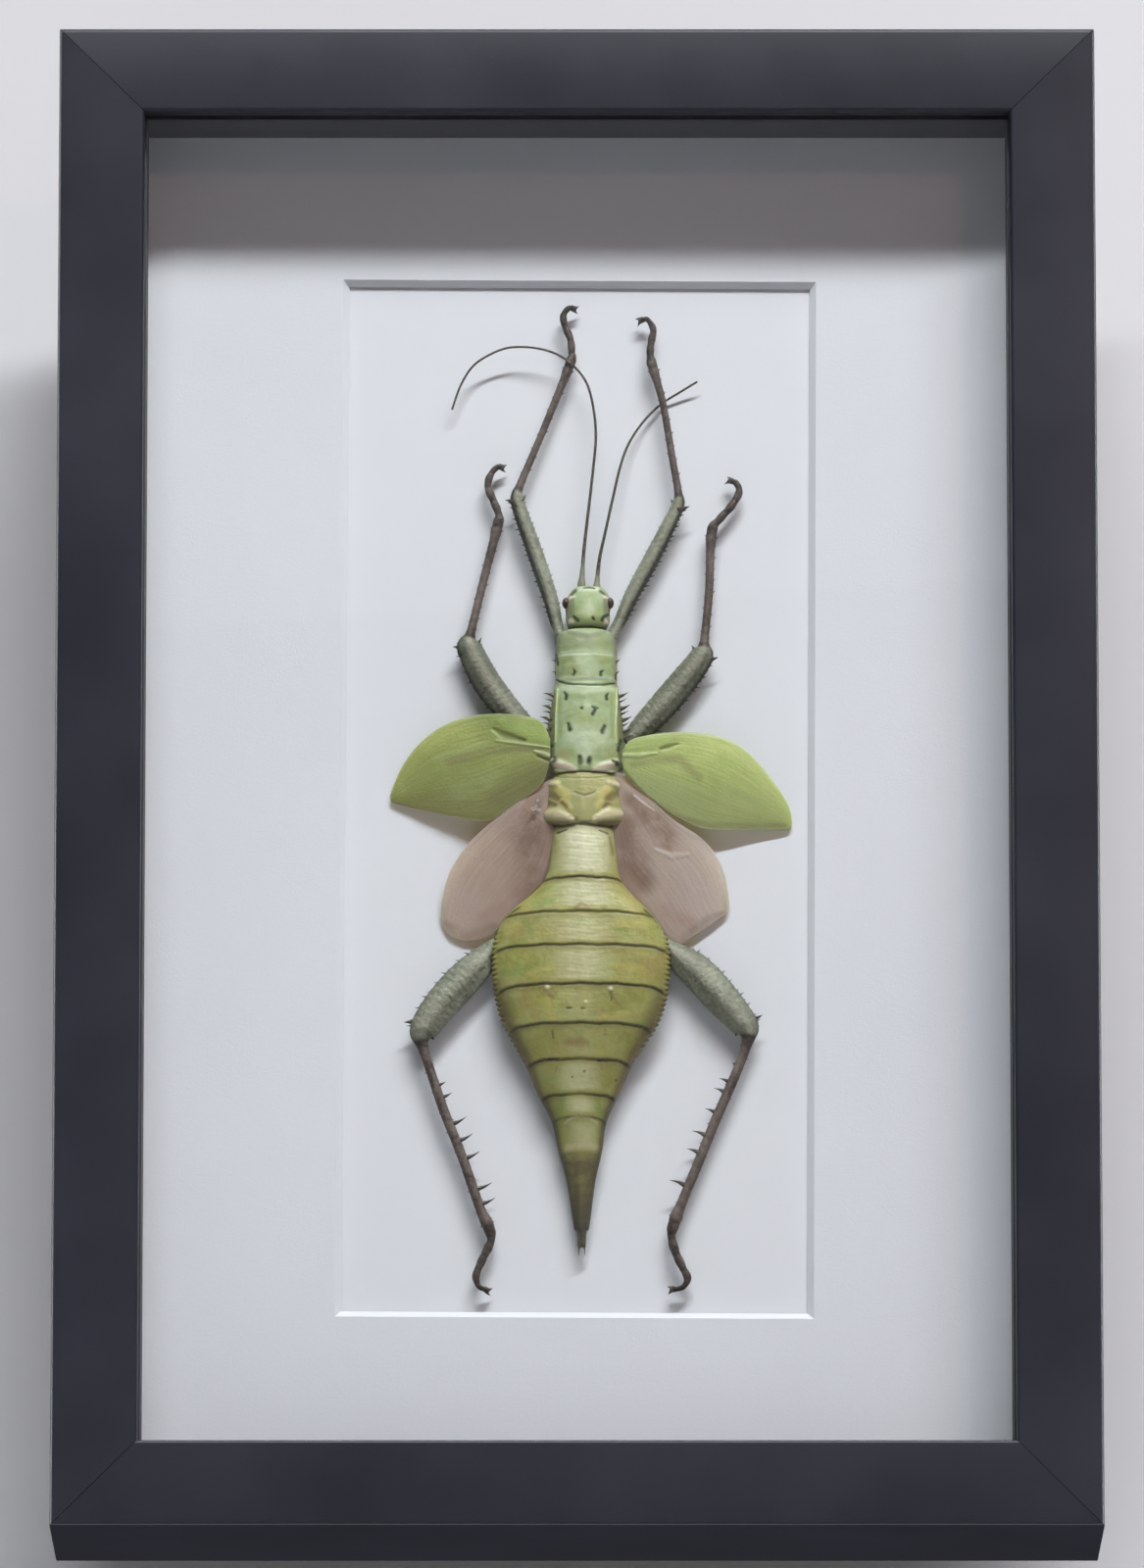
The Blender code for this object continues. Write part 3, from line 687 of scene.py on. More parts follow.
def oval_body(rings, step, across, relief):
    """A closed oval body along z, from rings (z, middle, half width, lowest, top height).

    At turn a a point lies at middle + half * cos(a). It stands above the widest level by
    (top - level) * sin(a), or below it by (level - lowest) * sin(a). Relief then lifts it along
    the oval's own outward way. Relief gets z, sideways share, upward share and x, and hands back
    a lift in millimetres and the values to carry.
    """
    z, middle, half, low, top = (column[:, None] for column in even_run(rings, step).T)
    half = np.maximum(half, 0.05)
    level = low + (top - low) * WIDEST
    turn = np.concatenate(
        [np.linspace(0, math.pi, across), np.linspace(math.pi, 2 * math.pi, across // 4)[1:-1]]
    )[None, :]
    side, up = np.cos(turn), np.sin(turn)
    rise = np.maximum(np.where(up > 0, top - level, level - low), 0.05)
    out_x, out_h = side / half, up / rise
    size = np.hypot(out_x, out_h)
    x, height = middle + half * side, level + rise * up
    side, up, z = np.broadcast_arrays(side, up, z)
    lift, values = relief(z, side, up, x)
    x = x + lift * out_x / size
    height = np.maximum(height + lift * out_h / size, CLEARANCE)
    return on_board(x, z, height), values


def layered_skin(name, dark, light, patches, layers, cloud_size, relief_depth, shine=(0.36, 0.52)):
    """Skin in two clouded tones with patches of two more.

    Each layer then lays its colour on by a mask of the mesh, broken up by fine noise.
    """
    finish = Finish(name, Specular_IOR_Level=0.5)
    fine = finish.noise(cloud_size * 2.6, 4.0, 0.65)
    streak = finish.noise(cloud_size, 4.0, 0.6, finish.place((0.4, 1, 1)))
    cloud = finish.plus(finish.times(fine, 0.4), finish.times(streak, 0.6))
    colour = finish.blend(finish.spread(cloud, 0.36, 0.64), dark, light)
    for number, tone in enumerate(patches):
        where = finish.noise(cloud_size * (0.42 + 0.2 * number), 4.0, 0.65)
        colour = finish.blend(finish.spread(where, 0.46, 0.6, 0.0, 0.68), colour, tone)
    broken = finish.spread(fine, 0.36, 0.62, 0.8, 1.12)
    colour = finish.lay(colour, layers, broken)
    grain = finish.group(speckle, Fine=5200.0, Broad=900.0)
    height = finish.plus(grain["Mottle"], finish.times(streak, 1.4))
    return finish.wear(
        Base_Color=colour,
        Roughness=finish.spread(grain["Mottle"], 0.3, 0.7, *shine),
        Normal=finish.relief(height, relief_depth, 0.6),
    )


ABDOMEN_RINGS = [
    (171.2, 1.7, 6.8, 0.6, 8.7),
    (169.0, 1.6, 7.9, 0.5, 9.0),
    (164.6, 1.5, 8.5, 0.4, 9.2),
    (160.6, 1.5, 8.7, 0.4, 8.9),
    (159.4, 1.4, 7.3, 0.5, 8.4),
    (153.6, 1.4, 7.4, 0.4, 9.2),
    (148.0, 1.3, 8.4, 0.4, 9.6),
    (144.2, 1.0, 11.4, 0.4, 9.9),
    (140.4, 0.7, 15.6, 0.4, 10.2),
    (136.4, 0.8, 18.2, 0.4, 10.4),
    (131.4, 0.9, 19.3, 0.4, 10.5),
    (123.3, 0.9, 19.0, 0.4, 10.4),
    (115.6, 0.8, 17.0, 0.4, 9.8),
    (107.4, 0.4, 12.3, 0.5, 8.6),
    (99.7, 0.3, 9.0, 0.6, 7.4),
    (93.6, 0.5, 6.1, 0.9, 6.4),
    (86.8, 0.7, 4.8, 1.2, 5.6),
    (79.8, 0.9, 3.1, 1.5, 4.8),
    (70.2, 1.0, 1.75, 1.7, 4.0),
    (69.2, 1.0, 1.15, 1.8, 3.8),
    (65.6, 1.0, 0.9, 1.9, 3.4),
]
# Each seam between rings: its z on the middle line, how far its ends drop, and how dark it is on
# the middle line and towards the sides
SEAMS = [
    (159.5, -0.2, 0.5, 0.9),
    (147.5, 0.6, 1.0, 0.8),
    (139.6, 0.9, 0.45, 0.6),
    (132.1, 1.0, 0.75, 0.85),
    (123.3, 1.6, 1.0, 1.0),
    (114.6, 1.6, 1.0, 1.0),
    (106.7, 1.4, 0.35, 1.0),
    (99.0, 1.4, 0.2, 1.0),
    (94.0, 1.6, 0.05, 0.3),
    (86.0, 1.0, 0.05, 0.2),
]
ABDOMEN_STEP, ABDOMEN_ACROSS = 0.22, 150
SEAM_STEP = 0.3
TOOTH_SPACING = 1.15
# Colour marks by kind, each a tapering line of (x, z, half width)
ABDOMEN_MARKS = {
    "dark": [
        [(-7.4, 160.0, 0.2), (-5.4, 159.8, 0.28), (-3.2, 159.4, 0.18), (0.1, 159.7, 0.16),
         (1.6, 159.9, 0.24), (3.1, 159.6, 0.16), (6.3, 159.3, 0.2), (10.0, 159.6, 0.24)],
        [(-4.3, 157.9, 0.27), (-2.2, 158.4, 0.14)], [(4.9, 158.2, 0.14), (6.8, 157.7, 0.27)],
        [(7.4, 121.4, 0.22), (7.5, 119.5, 0.12)], [(-2.3, 117.8, 0.27), (-1.3, 117.8, 0.2)],
        [(1.0, 117.7, 0.26), (1.6, 117.7, 0.2)], [(-5.4, 112.9, 0.16), (-5.3, 111.2, 0.15)],
        [(1.6, 104.0, 0.28)], [(-1.1, 102.7, 0.24)], [(8.5, 102.3, 0.26)],
        [(-6.2, 106.7, 0.22), (-4.2, 106.6, 0.3)], [(4.7, 106.4, 0.3), (6.7, 106.3, 0.2)],
        # These two lines are painted shadow where the third ring's front corners stand over the
        # wings
        [(-12.6, 140.9, 0.25), (-15.4, 139.4, 0.5), (-17.9, 136.8, 0.35)],
        [(14.8, 140.4, 0.25), (17.2, 138.9, 0.5), (19.6, 135.6, 0.4)],
    ],
    "brown": [
        [(-0.4, 140.3, 0.4), (1.0, 141.3, 0.35), (2.4, 140.2, 0.4)],
        [(-1.4, 139.4, 0.18), (2.8, 139.5, 0.18)], [(-2.1, 110.4, 0.7), (2.1, 110.3, 0.7)],
        [(13.3, 109.7, 0.5), (11.2, 106.6, 0.4)], [(9.7, 101.9, 0.35), (8.2, 99.1, 0.3)],
        # The first two lines here are painted shade below the two cream knobs
        [(-8.4, 122.6, 0.24), (-5.4, 120.3, 0.45)], [(7.9, 120.7, 0.24), (9.1, 118.6, 0.36)],
        [(-4.4, 105.2, 0.2), (-4.8, 103.8, 0.15)], [(5.3, 105.4, 0.2), (5.4, 104.3, 0.15)],
        [(6.2, 113.1, 0.3), (6.2, 111.9, 0.24)], [(-6.0, 155.6, 0.21), (-5.4, 157.2, 0.25)],
        [(7.2, 157.0, 0.3), (7.8, 153.0, 0.35)], [(1.0, 110.4, 1.0)],
    ],
    "green": [
        [(-12.1, 139.1, 0.5), (-9.7, 134.3, 0.8)], [(-14.8, 131.7, 0.5), (-11.8, 133.4, 0.6)],
        [(-13.3, 126.9, 0.8), (-7.3, 126.9, 0.6)], [(8.7, 135.4, 0.5), (11.9, 134.0, 0.5)],
        [(-9.4, 141.7, 0.8), (-5.6, 141.9, 0.6)], [(-8.2, 139.1, 0.4), (-10.3, 136.7, 0.5)],
        [(-16.1, 126.4, 0.9), (-12.2, 125.5, 0.7)], [(-3.2, 98.4, 0.7), (-4.0, 95.2, 0.8)],
        [(4.3, 98.4, 0.6), (4.7, 95.0, 0.7)], [(-8.2, 101.7, 0.5), (-5.2, 102.7, 0.4)],
        [(13.3, 114.6, 0.6), (15.4, 115.6, 0.5)], [(-8.6, 144.0, 0.7), (-6.0, 145.4, 0.5)],
        [(8.6, 143.6, 0.5), (10.4, 141.8, 0.5)],
    ],
    "yellow": [
        [(8.4, 137.2, 0.9), (14.9, 136.9, 0.9)], [(11.7, 139.9, 0.4), (14.6, 139.2, 0.4)],
        [(-9.1, 134.5, 0.4), (-5.6, 134.7, 0.4)], [(8.1, 143.4, 0.6), (11.7, 141.8, 0.6)],
        [(8.2, 127.4, 0.6), (14.2, 127.1, 0.8)], [(-9.4, 126.3, 0.6), (-5.2, 127.2, 0.6)],
        [(-7.0, 119.5, 0.8), (-5.2, 115.8, 0.8)], [(4.5, 115.8, 0.6), (11.2, 116.9, 0.6)],
        [(10.6, 131.0, 0.4), (15.4, 130.4, 0.5)], [(-13.6, 137.0, 0.6), (-15.4, 135.0, 0.5)],
    ],
    # Cream knobs, their paleness partly a painted highlight on their lit tips
    "cream_and_highlight": [
        [(-6.6, 122.4, 0.42)], [(7.4, 122.1, 0.42)], [(1.9, 119.1, 0.28)],
    ],
    "band": [
        [(-2.6, 92.8, 0.22), (-1.0, 93.9, 0.25), (0.9, 94.3, 0.25), (2.8, 93.9, 0.25),
         (4.4, 92.8, 0.22)],
        [(-2.0, 87.4, 0.7), (3.9, 87.6, 0.7)],
    ],
}

# Paler panels along the middle of the rings, partly paler skin and partly a painted highlight
PALE_AND_HIGHLIGHT_PANELS = [
    (148.2, 159.2, 1.6, 5.0, 0.8), (140.4, 147.2, 1.6, 5.2, 0.72), (132.6, 139.4, 1.2, 6.4, 0.42),
    (123.8, 131.8, 1.0, 5.8, 0.45), (114.9, 122.8, 0.8, 5.2, 0.14), (107.2, 114.2, 0.8, 4.4, 0.12),
    (99.6, 106.5, 0.6, 4.2, 0.42), (94.6, 98.8, 0.8, 3.0, 0.42), (87.2, 93.7, 1.0, 3.2, 0.3),
]


def marked(x, z, on_back, marks):
    """One mask for each kind of mark, kept to the back of the body."""
    return {kind: strokes(x, z, lines) * on_back for kind, lines in marks.items()}


def abdomen_relief(z, side, up, x):
    """Laps each ring over the next: it swells evenly to its rear edge and drops there at once.

    Fine wrinkles run across the middle, teeth stand along the flanks, and a keel lifts the tail.
    """
    on_back = ramp(up, 0.1, 0.4)
    lift = np.zeros_like(z)
    seam = np.zeros_like(z)
    shade = np.zeros_like(z)
    # The seams waver by a few tenths of a millimetre, as dried rings do
    waver = 0.09 * np.sin(x * 0.83 + 1) + 0.04 * np.sin(x * 2.3) + 0.03 * np.sin(x * 5.9)
    starts = [172.0] + [line[0] for line in SEAMS]
    for start, (middle, drop, dark, dark_side) in zip(starts, SEAMS):
        away = z - middle + drop * np.abs(side) ** 6 - waver
        share = np.clip(away / (start - middle), 0, 1)
        # The last laps are lower
        step = SEAM_STEP * ramp(middle, 80, 105)
        lift += np.where(away > 0, step * (1 - share) ** 2 * ramp(away, -0.01, 0.3), 0)
        lift -= 0.33 * step * bump(away + 0.22, 0.26)
        depth = dark + (dark_side - dark) * ramp(np.abs(side), 0.12, 0.5)
        seam = np.maximum(seam, depth * bump(away + 0.08, 0.21))
        # Painted shade in a broad band just behind each seam
        shade = np.maximum(shade, depth * bump(away + 0.4, 0.75))
    # Two slow waves break the wrinkles up, so that they come and go
    wrinkle = np.sin(z * 5.2 + np.sin(x * 0.6) * 1.4) * np.sin(z * 1.7 + x * 0.4 + 1)
    wrinkle = wrinkle * bump(x - 1.2, 6.0) * ramp(z, 108, 128) * (1 - ramp(z, 157, 159))
    teeth = 0.5 + 0.5 * np.cos(z * 2 * math.pi / TOOTH_SPACING)
    flank = bump(up - 0.06, 0.16) * ramp(z, 104, 110) * (1 - ramp(z, 133, 138))
    tail = 1 - ramp(z, 83.6, 87.4)
    keel = 1 - ramp(z, 94, 101)
    masks = marked(x, z, on_back, ABDOMEN_MARKS)
    lift = (lift + 0.03 * wrinkle + 0.45 * keel * bump(side, 0.45)) * on_back
    lift += 0.6 * teeth * flank
    lift += 0.14 * bump(x - 1.0, 1.2) * on_back * ramp(z, 101, 110)
    lift += 0.3 * masks["cream_and_highlight"] - 0.1 * masks["dark"]
    return lift, masks | {
        "seam": seam * on_back,
        "shade": shade * on_back,
        # Pale skin along the middle of the rings, partly a painted highlight
        "pale": panels(x, z, PALE_AND_HIGHLIGHT_PANELS) * on_back,
        "back": bump(x - 1.4, 4.6) * on_back * ramp(z, 112, 130),
        "rear": (1 - ramp(z, 100, 124)) * on_back,
        "flank": ramp(np.abs(side), 0.78, 0.93) * (1 - ramp(z, 116, 130)),
        # Painted shade on the underside, towards the board
        "under": 1 - ramp(up, 0.0, 0.25),
        "tail": tail,
        "tip": 1 - ramp(z, 70, 79),
        "rim": (1 - ramp(z, 92, 102)) * ramp(np.abs(side), 0.6, 0.95),
        # Paler front rings, partly a painted highlight
        "front": ramp(z, 146, 152) * bump(x - 1.6, 5.8) * on_back,
        "saddle": ramp(z, 159.6, 160.4),
    }


# Between the abdomen and the wing-bearing ring lies the rear thorax ring, cream, yellow and brown
SADDLE_MARKS = {
    "lump": [
        [(-6.4, 169.3, 0.6), (-4.6, 169.0, 0.7)], [(7.3, 169.1, 0.6), (8.9, 168.8, 0.7)],
        [(-7.1, 162.3, 0.7), (-4.5, 161.9, 1.2), (-1.0, 160.5, 0.45)],
        [(3.6, 160.5, 0.45), (6.9, 161.9, 1.1), (9.7, 162.4, 0.8)],
    ],
    "gold": [
        [(-4.6, 168.2, 0.7), (-2.6, 166.0, 1.1)], [(7.3, 168.1, 0.7), (5.5, 166.0, 1.1)],
        [(-3.0, 164.8, 0.9), (-1.6, 163.1, 0.6)], [(5.4, 164.6, 0.8), (4.6, 163.2, 0.6)],
    ],
    "umber": [
        [(-6.4, 166.8, 0.8), (-4.2, 165.2, 0.6)], [(7.0, 165.3, 0.8), (8.9, 166.7, 0.7)],
        [(-3.4, 164.4, 0.45), (-2.4, 163.4, 0.4)], [(6.9, 164.0, 0.7), (6.0, 163.1, 0.45)],
        [(-1.5, 160.9, 0.35), (0.0, 160.5, 0.35)], [(-6.6, 164.8, 0.7), (-5.0, 163.9, 0.5)],
        [(-7.4, 160.5, 0.35), (-2.0, 159.9, 0.25)], [(4.6, 159.9, 0.25), (9.9, 160.5, 0.35)],
        [(3.2, 160.6, 0.28), (4.2, 160.9, 0.25)],
    ],
    "ink": [
        [(-5.0, 171.2, 0.3), (-3.8, 170.4, 0.18), (-0.5, 169.9, 0.12), (3.5, 169.9, 0.12),
         (6.5, 170.4, 0.18), (8.2, 171.2, 0.3)],
        [(-0.5, 166.7, 0.16), (0.7, 166.1, 0.24), (1.6, 165.8, 0.27), (2.7, 166.1, 0.24),
         (3.9, 166.7, 0.16)],
    ],
}


def skin_relief(z, side, up, x):
    """The abdomen's relief with the saddle's raised lumps and its dark arc."""
    lift, values = abdomen_relief(z, side, up, x)
    masks = marked(x, z, ramp(up, -0.05, 0.2), SADDLE_MARKS)
    lift += 0.4 * masks["lump"] + 0.15 * masks["gold"] - 0.15 * masks["umber"]
    lift += 0.2 * bump(x - 1.5, 0.9) * bump(z - 162.4, 1.4) - 0.1 * masks["ink"]
    return lift, values | masks


olive_skin = layered_skin(
    "olive_skin",
    (0.225, 0.24, 0.05),
    (0.41, 0.40, 0.10),
    [(0.235, 0.25, 0.065), (0.36, 0.29, 0.10), (0.40, 0.41, 0.15)],
    # Some layers are painted light: the pale middle, back and front rings and the cream knobs are
    # partly painted highlight, shade and under are painted shade, and a few dark and brown lines
    # are painted shadow.
    [
        ("rear", 0.45, (0.24, 0.245, 0.08)),
        ("back", 0.38, (0.53, 0.53, 0.19)),
        ("green", 0.6, (0.21, 0.30, 0.07)),
        ("yellow", 0.55, (0.48, 0.41, 0.11)),
        ("front", 0.75, (0.62, 0.61, 0.37)),
        ("saddle", 0.92, (0.42, 0.42, 0.17)),
        ("pale", 0.85, (0.76, 0.77, 0.53)),
        ("shade", 0.55, (0.16, 0.14, 0.05)),
        ("flank", 0.75, (0.17, 0.125, 0.065)),
        ("tail", 0.95, (0.125, 0.105, 0.052)),
        ("rim", 0.65, (0.06, 0.06, 0.032)),
        ("tip", 0.8, (0.06, 0.056, 0.042)),
        ("brown", 0.65, (0.24, 0.155, 0.065)),
        ("gold", 0.6, (0.66, 0.58, 0.18)),
        ("umber", 0.75, (0.19, 0.12, 0.05)),
        ("lump", 0.85, (0.72, 0.64, 0.40)),
        ("band", 0.6, (0.56, 0.49, 0.32)),
        ("cream_and_highlight", 0.9, (0.78, 0.74, 0.5)),
        ("under", 0.6, (0.12, 0.11, 0.05)),
        ("dark", 0.85, (0.06, 0.05, 0.02)),
        ("ink", 0.55, (0.09, 0.07, 0.035)),
        ("seam", 0.85, (0.05, 0.052, 0.018)),
    ],
    230.0,
    0.00016,
)
points, values = oval_body(ABDOMEN_RINGS, ABDOMEN_STEP, ABDOMEN_ACROSS, skin_relief)
add_shell("abdomen_rings", points, values, olive_skin, "olive_abdomen", "abdomen")


# Thorax
# The first two rings behind the head, mint green with cream ridges along both edges and black
# dots, over darker sides that carry a row of thorns.
THORAX_RINGS = [
    (204.2, 2.0, 4.6, 1.6, 7.4),
    (203.0, 2.0, 6.2, 1.0, 8.5),
    (198.2, 2.0, 6.9, 0.5, 9.1),
    (193.2, 2.0, 6.9, 0.5, 8.9),
    (192.0, 2.0, 6.9, 0.6, 8.7),
    (190.6, 2.0, 7.2, 0.5, 9.0),
    (184.0, 1.9, 8.3, 0.4, 9.5),
    (178.0, 1.9, 8.7, 0.4, 9.5),
    (174.4, 1.8, 8.3, 0.4, 9.3),
    (171.6, 1.8, 6.9, 0.6, 9.0),
]
THORAX_STEP, THORAX_ACROSS = 0.16, 150
# Colour marks by kind, as on the abdomen
THORAX_MARKS = {
    "dot": [
        [(-0.9, 194.6, 0.14), (-0.5, 193.9, 0.32), (-0.8, 193.4, 0.36)],
        [(5.9, 194.3, 0.14), (5.3, 194.0, 0.3), (5.3, 193.3, 0.38)],
        [(-4.9, 199.0, 0.2), (-4.6, 197.6, 0.34), (-4.2, 196.0, 0.2)],
        [(-5.2, 195.3, 0.2), (-4.9, 194.2, 0.22)], [(8.5, 193.8, 0.18), (8.6, 192.9, 0.18)],
        [(-2.8, 189.4, 0.22), (-2.4, 188.7, 0.36), (-2.5, 187.9, 0.4)],
        [(6.9, 189.2, 0.2), (6.5, 188.6, 0.34), (6.6, 187.9, 0.4)], [(1.05, 185.6, 0.36)],
        [(3.4, 185.9, 0.22), (4.1, 185.5, 0.36), (4.6, 185.6, 0.2)],
        [(4.1, 185.4, 0.36), (3.5, 184.2, 0.46)], [(-2.0, 182.1, 0.34), (-1.6, 180.8, 0.52)],
        [(6.1, 181.6, 0.4), (5.6, 180.3, 0.52)], [(0.6, 174.6, 0.46), (0.75, 173.3, 0.58)],
        [(2.8, 174.3, 0.46), (2.65, 173.3, 0.6)], [(-5.0, 174.8, 0.3), (-4.8, 174.1, 0.55)],
        [(7.8, 174.0, 0.3), (8.6, 173.6, 0.62)], [(-5.9, 190.2, 0.34)], [(-5.9, 187.5, 0.34)],
        [(-5.9, 183.5, 0.34)], [(-6.0, 181.3, 0.36)], [(-5.7, 177.5, 0.38)],
        [(9.9, 178.9, 0.36), (9.5, 178.0, 0.4)], [(9.4, 177.2, 0.4), (9.2, 176.4, 0.36)],
    ],
    "joint": [
        [(-4.6, 192.8, 0.12), (-3.9, 192.2, 0.2), (-2.6, 191.5, 0.24), (-1.0, 191.2, 0.18),
         (2.6, 190.9, 0.24), (5.9, 191.1, 0.24), (8.3, 191.8, 0.16)],
    ],
    "beige": [
        [(-5.3, 174.2, 0.5), (-3.6, 172.9, 0.95), (-0.5, 171.8, 0.55)],
        [(8.7, 174.0, 0.5), (6.9, 172.7, 0.95), (3.8, 171.8, 0.55)],
    ],
    "rust": [
        [(-3.8, 175.9, 0.7), (-2.2, 174.6, 0.6)], [(7.6, 176.0, 0.7), (6.0, 174.8, 0.6)],
    ],
    "ridge": [
        [(-4.3, 190.3, 0.22), (-4.5, 187.1, 0.18), (-4.7, 183.2, 0.14), (-4.8, 178.2, 0.14)],
        [(8.7, 190.8, 0.18), (8.8, 187.2, 0.18), (8.6, 183.2, 0.16), (8.6, 178.0, 0.16)],
        [(-4.9, 172.2, 0.14), (-3.0, 171.5, 0.2), (-0.3, 170.9, 0.14)],
        [(8.3, 171.9, 0.14), (6.5, 171.3, 0.2), (3.5, 170.8, 0.14)],
    ],
    "pale": [
        [(-3.5, 190.4, 0.5), (2.0, 189.8, 0.8), (8.0, 190.4, 0.5)], [(2.2, 186.2, 0.7)],
        [(-0.6, 179.9, 2.0), (4.8, 179.2, 2.0)], [(2.0, 177.2, 2.4), (2.0, 175.6, 1.6)],
        [(1.7, 171.9, 0.5)], [(-3.1, 198.1, 0.2), (8.0, 198.2, 0.2)],
        [(1.2, 197.0, 1.6), (2.4, 194.6, 2.0)],
        [(-4.4, 192.8, 0.5), (2.3, 192.5, 0.75), (8.3, 192.9, 0.5)],
    ],
    "lobe": [[(-0.6, 174.6, 0.9), (1.7, 171.5, 0.75)], [(4.1, 174.6, 0.9), (2.0, 171.5, 0.75)]],
    "moss": [
        [(-3.8, 188.3, 0.45), (-3.6, 179.2, 0.35)], [(7.6, 188.3, 0.45), (7.8, 179.2, 0.35)],
        [(-2.0, 188.6, 0.5), (1.5, 188.2, 0.4)], [(3.5, 187.7, 0.5), (7.0, 186.4, 0.5)],
        [(-2.8, 199.6, 0.5), (-0.2, 199.4, 0.5)], [(-3.1, 196.4, 0.5), (-1.5, 197.0, 0.5)],
        [(5.6, 196.1, 0.6), (7.3, 196.9, 0.45)], [(-1.7, 201.4, 0.5), (-0.2, 200.9, 0.4)],
        [(4.5, 200.1, 0.5), (7.0, 200.6, 0.55)], [(-2.5, 183.6, 0.5), (0.5, 184.4, 0.3)],
    ],
    "shade": [
        [(-1.9, 203.2, 0.4), (0.4, 202.6, 0.6), (2.3, 201.8, 0.7), (4.1, 202.5, 0.6),
         (6.2, 203.4, 0.4)],
        [(-4.4, 202.7, 0.7), (-4.4, 199.2, 0.4)], [(8.7, 203.0, 0.7), (8.6, 199.0, 0.4)],
    ],
}


def thorax_relief(z, side, up, x):
    """Raises the edge ridges and lumps, hollows the groove and the joint, and dents each dot."""
    on_back = ramp(up, -0.05, 0.15)
    masks = marked(x, z, on_back, THORAX_MARKS)
    groove = bump(z - 198.15, 0.3) * on_back
    collar = bump(z - 172.6 - 1.6 * side**2, 0.8) * on_back
    rear_joint = bump(z - 191.4, 0.45) * on_back
    # The darker side walls start just outside the ridges and carry the thorns
    wall = np.where(x < 2, ramp(-x, 4.7, 5.3), ramp(x, 8.8, 9.4)) * (1 - ramp(z, 190.2, 191.0))
    lift = 0.25 * masks["ridge"] - 0.1 * groove - 0.2 * masks["joint"] - 0.12 * rear_joint
    lift += 0.25 * collar + 0.25 * masks["beige"] - 0.12 * masks["dot"] - 0.12 * wall
    lift += 0.02 * np.sin(z * 1.9 + x) * np.sin(x * 1.4 - z * 0.7) * on_back
    return lift, masks | {
        "groove": bump(z - 198.5, 0.3) * on_back,
        "wall": wall,
        # Painted shade on the underside, towards the board
        "under": 1 - on_back,
        "edge": np.where(z > 191, ramp(np.abs(side), 0.78, 0.95), 0),
        "front": ramp(z, 198.6, 200.0) * on_back,
    }


mint = layered_skin(
    "mint_skin",
    (0.33, 0.415, 0.17),
    (0.48, 0.575, 0.275),
    [(0.36, 0.42, 0.16), (0.42, 0.55, 0.33)],
    [
        ("front", 0.6, (0.28, 0.33, 0.19)),
        ("moss", 0.5, (0.29, 0.36, 0.13)),
        ("pale", 0.6, (0.70, 0.81, 0.57)),
        ("groove", 0.5, (0.75, 0.85, 0.62)),
        ("edge", 0.6, (0.27, 0.28, 0.19)),
        ("shade", 0.65, (0.20, 0.23, 0.12)),
        ("wall", 0.9, (0.20, 0.215, 0.10)),
        # Painted shade on the underside
        ("under", 0.85, (0.17, 0.18, 0.09)),
        ("rust", 0.45, (0.50, 0.42, 0.20)),
        ("beige", 1.0, (0.93, 0.83, 0.63)),
        ("lobe", 0.7, (0.40, 0.50, 0.23)),
        ("ridge", 0.75, (0.70, 0.72, 0.38)),
        ("joint", 1.0, (0.03, 0.045, 0.02)),
        ("dot", 1.0, (0.02, 0.04, 0.008)),
    ],
    300.0,
    0.00013,
    (0.46, 0.6),
)
points, values = oval_body(THORAX_RINGS, THORAX_STEP, THORAX_ACROSS, thorax_relief)
add_shell("thorax_rings", points, values, mint, "mint_body", "thorax")


def joined_shells(grids):
    """Closes each grid of rings and joins them all into one list of points and faces."""
    points, faces, start = [], [], 0
    for grid in grids:
        body, sides = closed_shell(grid)
        points.append(body)
        faces += [tuple(k + start for k in face) for face in sides]
        start += len(body)
    return np.concatenate(points), faces


THORN_ROWS, THORN_AROUND = 5, 7


def thorns(roots, tips, girths, bow):
    """Small curved cones from roots to tips: the radius falls as (1 - t)^1.3, the line bows."""
    roots, tips = np.asarray(roots, float), np.asarray(tips, float)
    way = tips - roots
    length = np.linalg.norm(way, axis=1, keepdims=True)
    way_unit = way / length
    one = np.cross(way_unit, np.array([0.0, 1.0, 0.0]))
    one /= np.maximum(np.linalg.norm(one, axis=1, keepdims=True), 1e-6)
    two = np.cross(way_unit, one)
    t = np.linspace(0, 1, THORN_ROWS)[None, :, None, None]
    turn = np.linspace(0, 2 * math.pi, THORN_AROUND, endpoint=False)[None, None, :, None]
    centre = roots[:, None, None] + way[:, None, None] * t
    centre = centre - one[:, None, None] * length[:, None, None] * bow * np.sin(math.pi * t)
    girths = np.broadcast_to(girths, len(roots))[:, None, None, None]
    radius = girths * MM * ((1 - t) ** 1.3 + 0.05)
    ring = centre + radius * (
        one[:, None, None] * np.cos(turn) + two[:, None, None] * np.sin(turn)
    )
    share = np.broadcast_to(t, ring.shape[:3] + (1,))[..., 0].reshape(len(ring), -1)
    ends = np.broadcast_to(np.array([0.0, 1.0]), (len(ring), 2))
    return *joined_shells(ring), np.concatenate([share, ends], 1).ravel()


def thorn_skin(name, dark, light):
    """Thorns, clouded between two tones at the root and black at the tip."""
    finish = Finish(name, Specular_IOR_Level=0.5, Roughness=0.4)
    share = finish.spread(finish.carried("tip"), 0.25, 0.85)
    root = finish.blend(finish.noise(900.0, 2.0), dark, light)
    return finish.wear(Base_Color=finish.blend(share, root, (0.03, 0.026, 0.018)))


green_thorns = thorn_skin("green_thorns", (0.12, 0.12, 0.065), (0.22, 0.21, 0.13))


def add_thorns(name, finish, slot, roots, tips, girths, bow=0.08):
    """Adds thorns as one piece, from roots and tips given as (x, z, height)."""
    ends = [on_board(*np.array(end, float).T) for end in (roots, tips)]
    points, faces, share = thorns(*ends, girths, bow)
    carry(add_piece(name, points, faces, finish, slot), "tip", share)


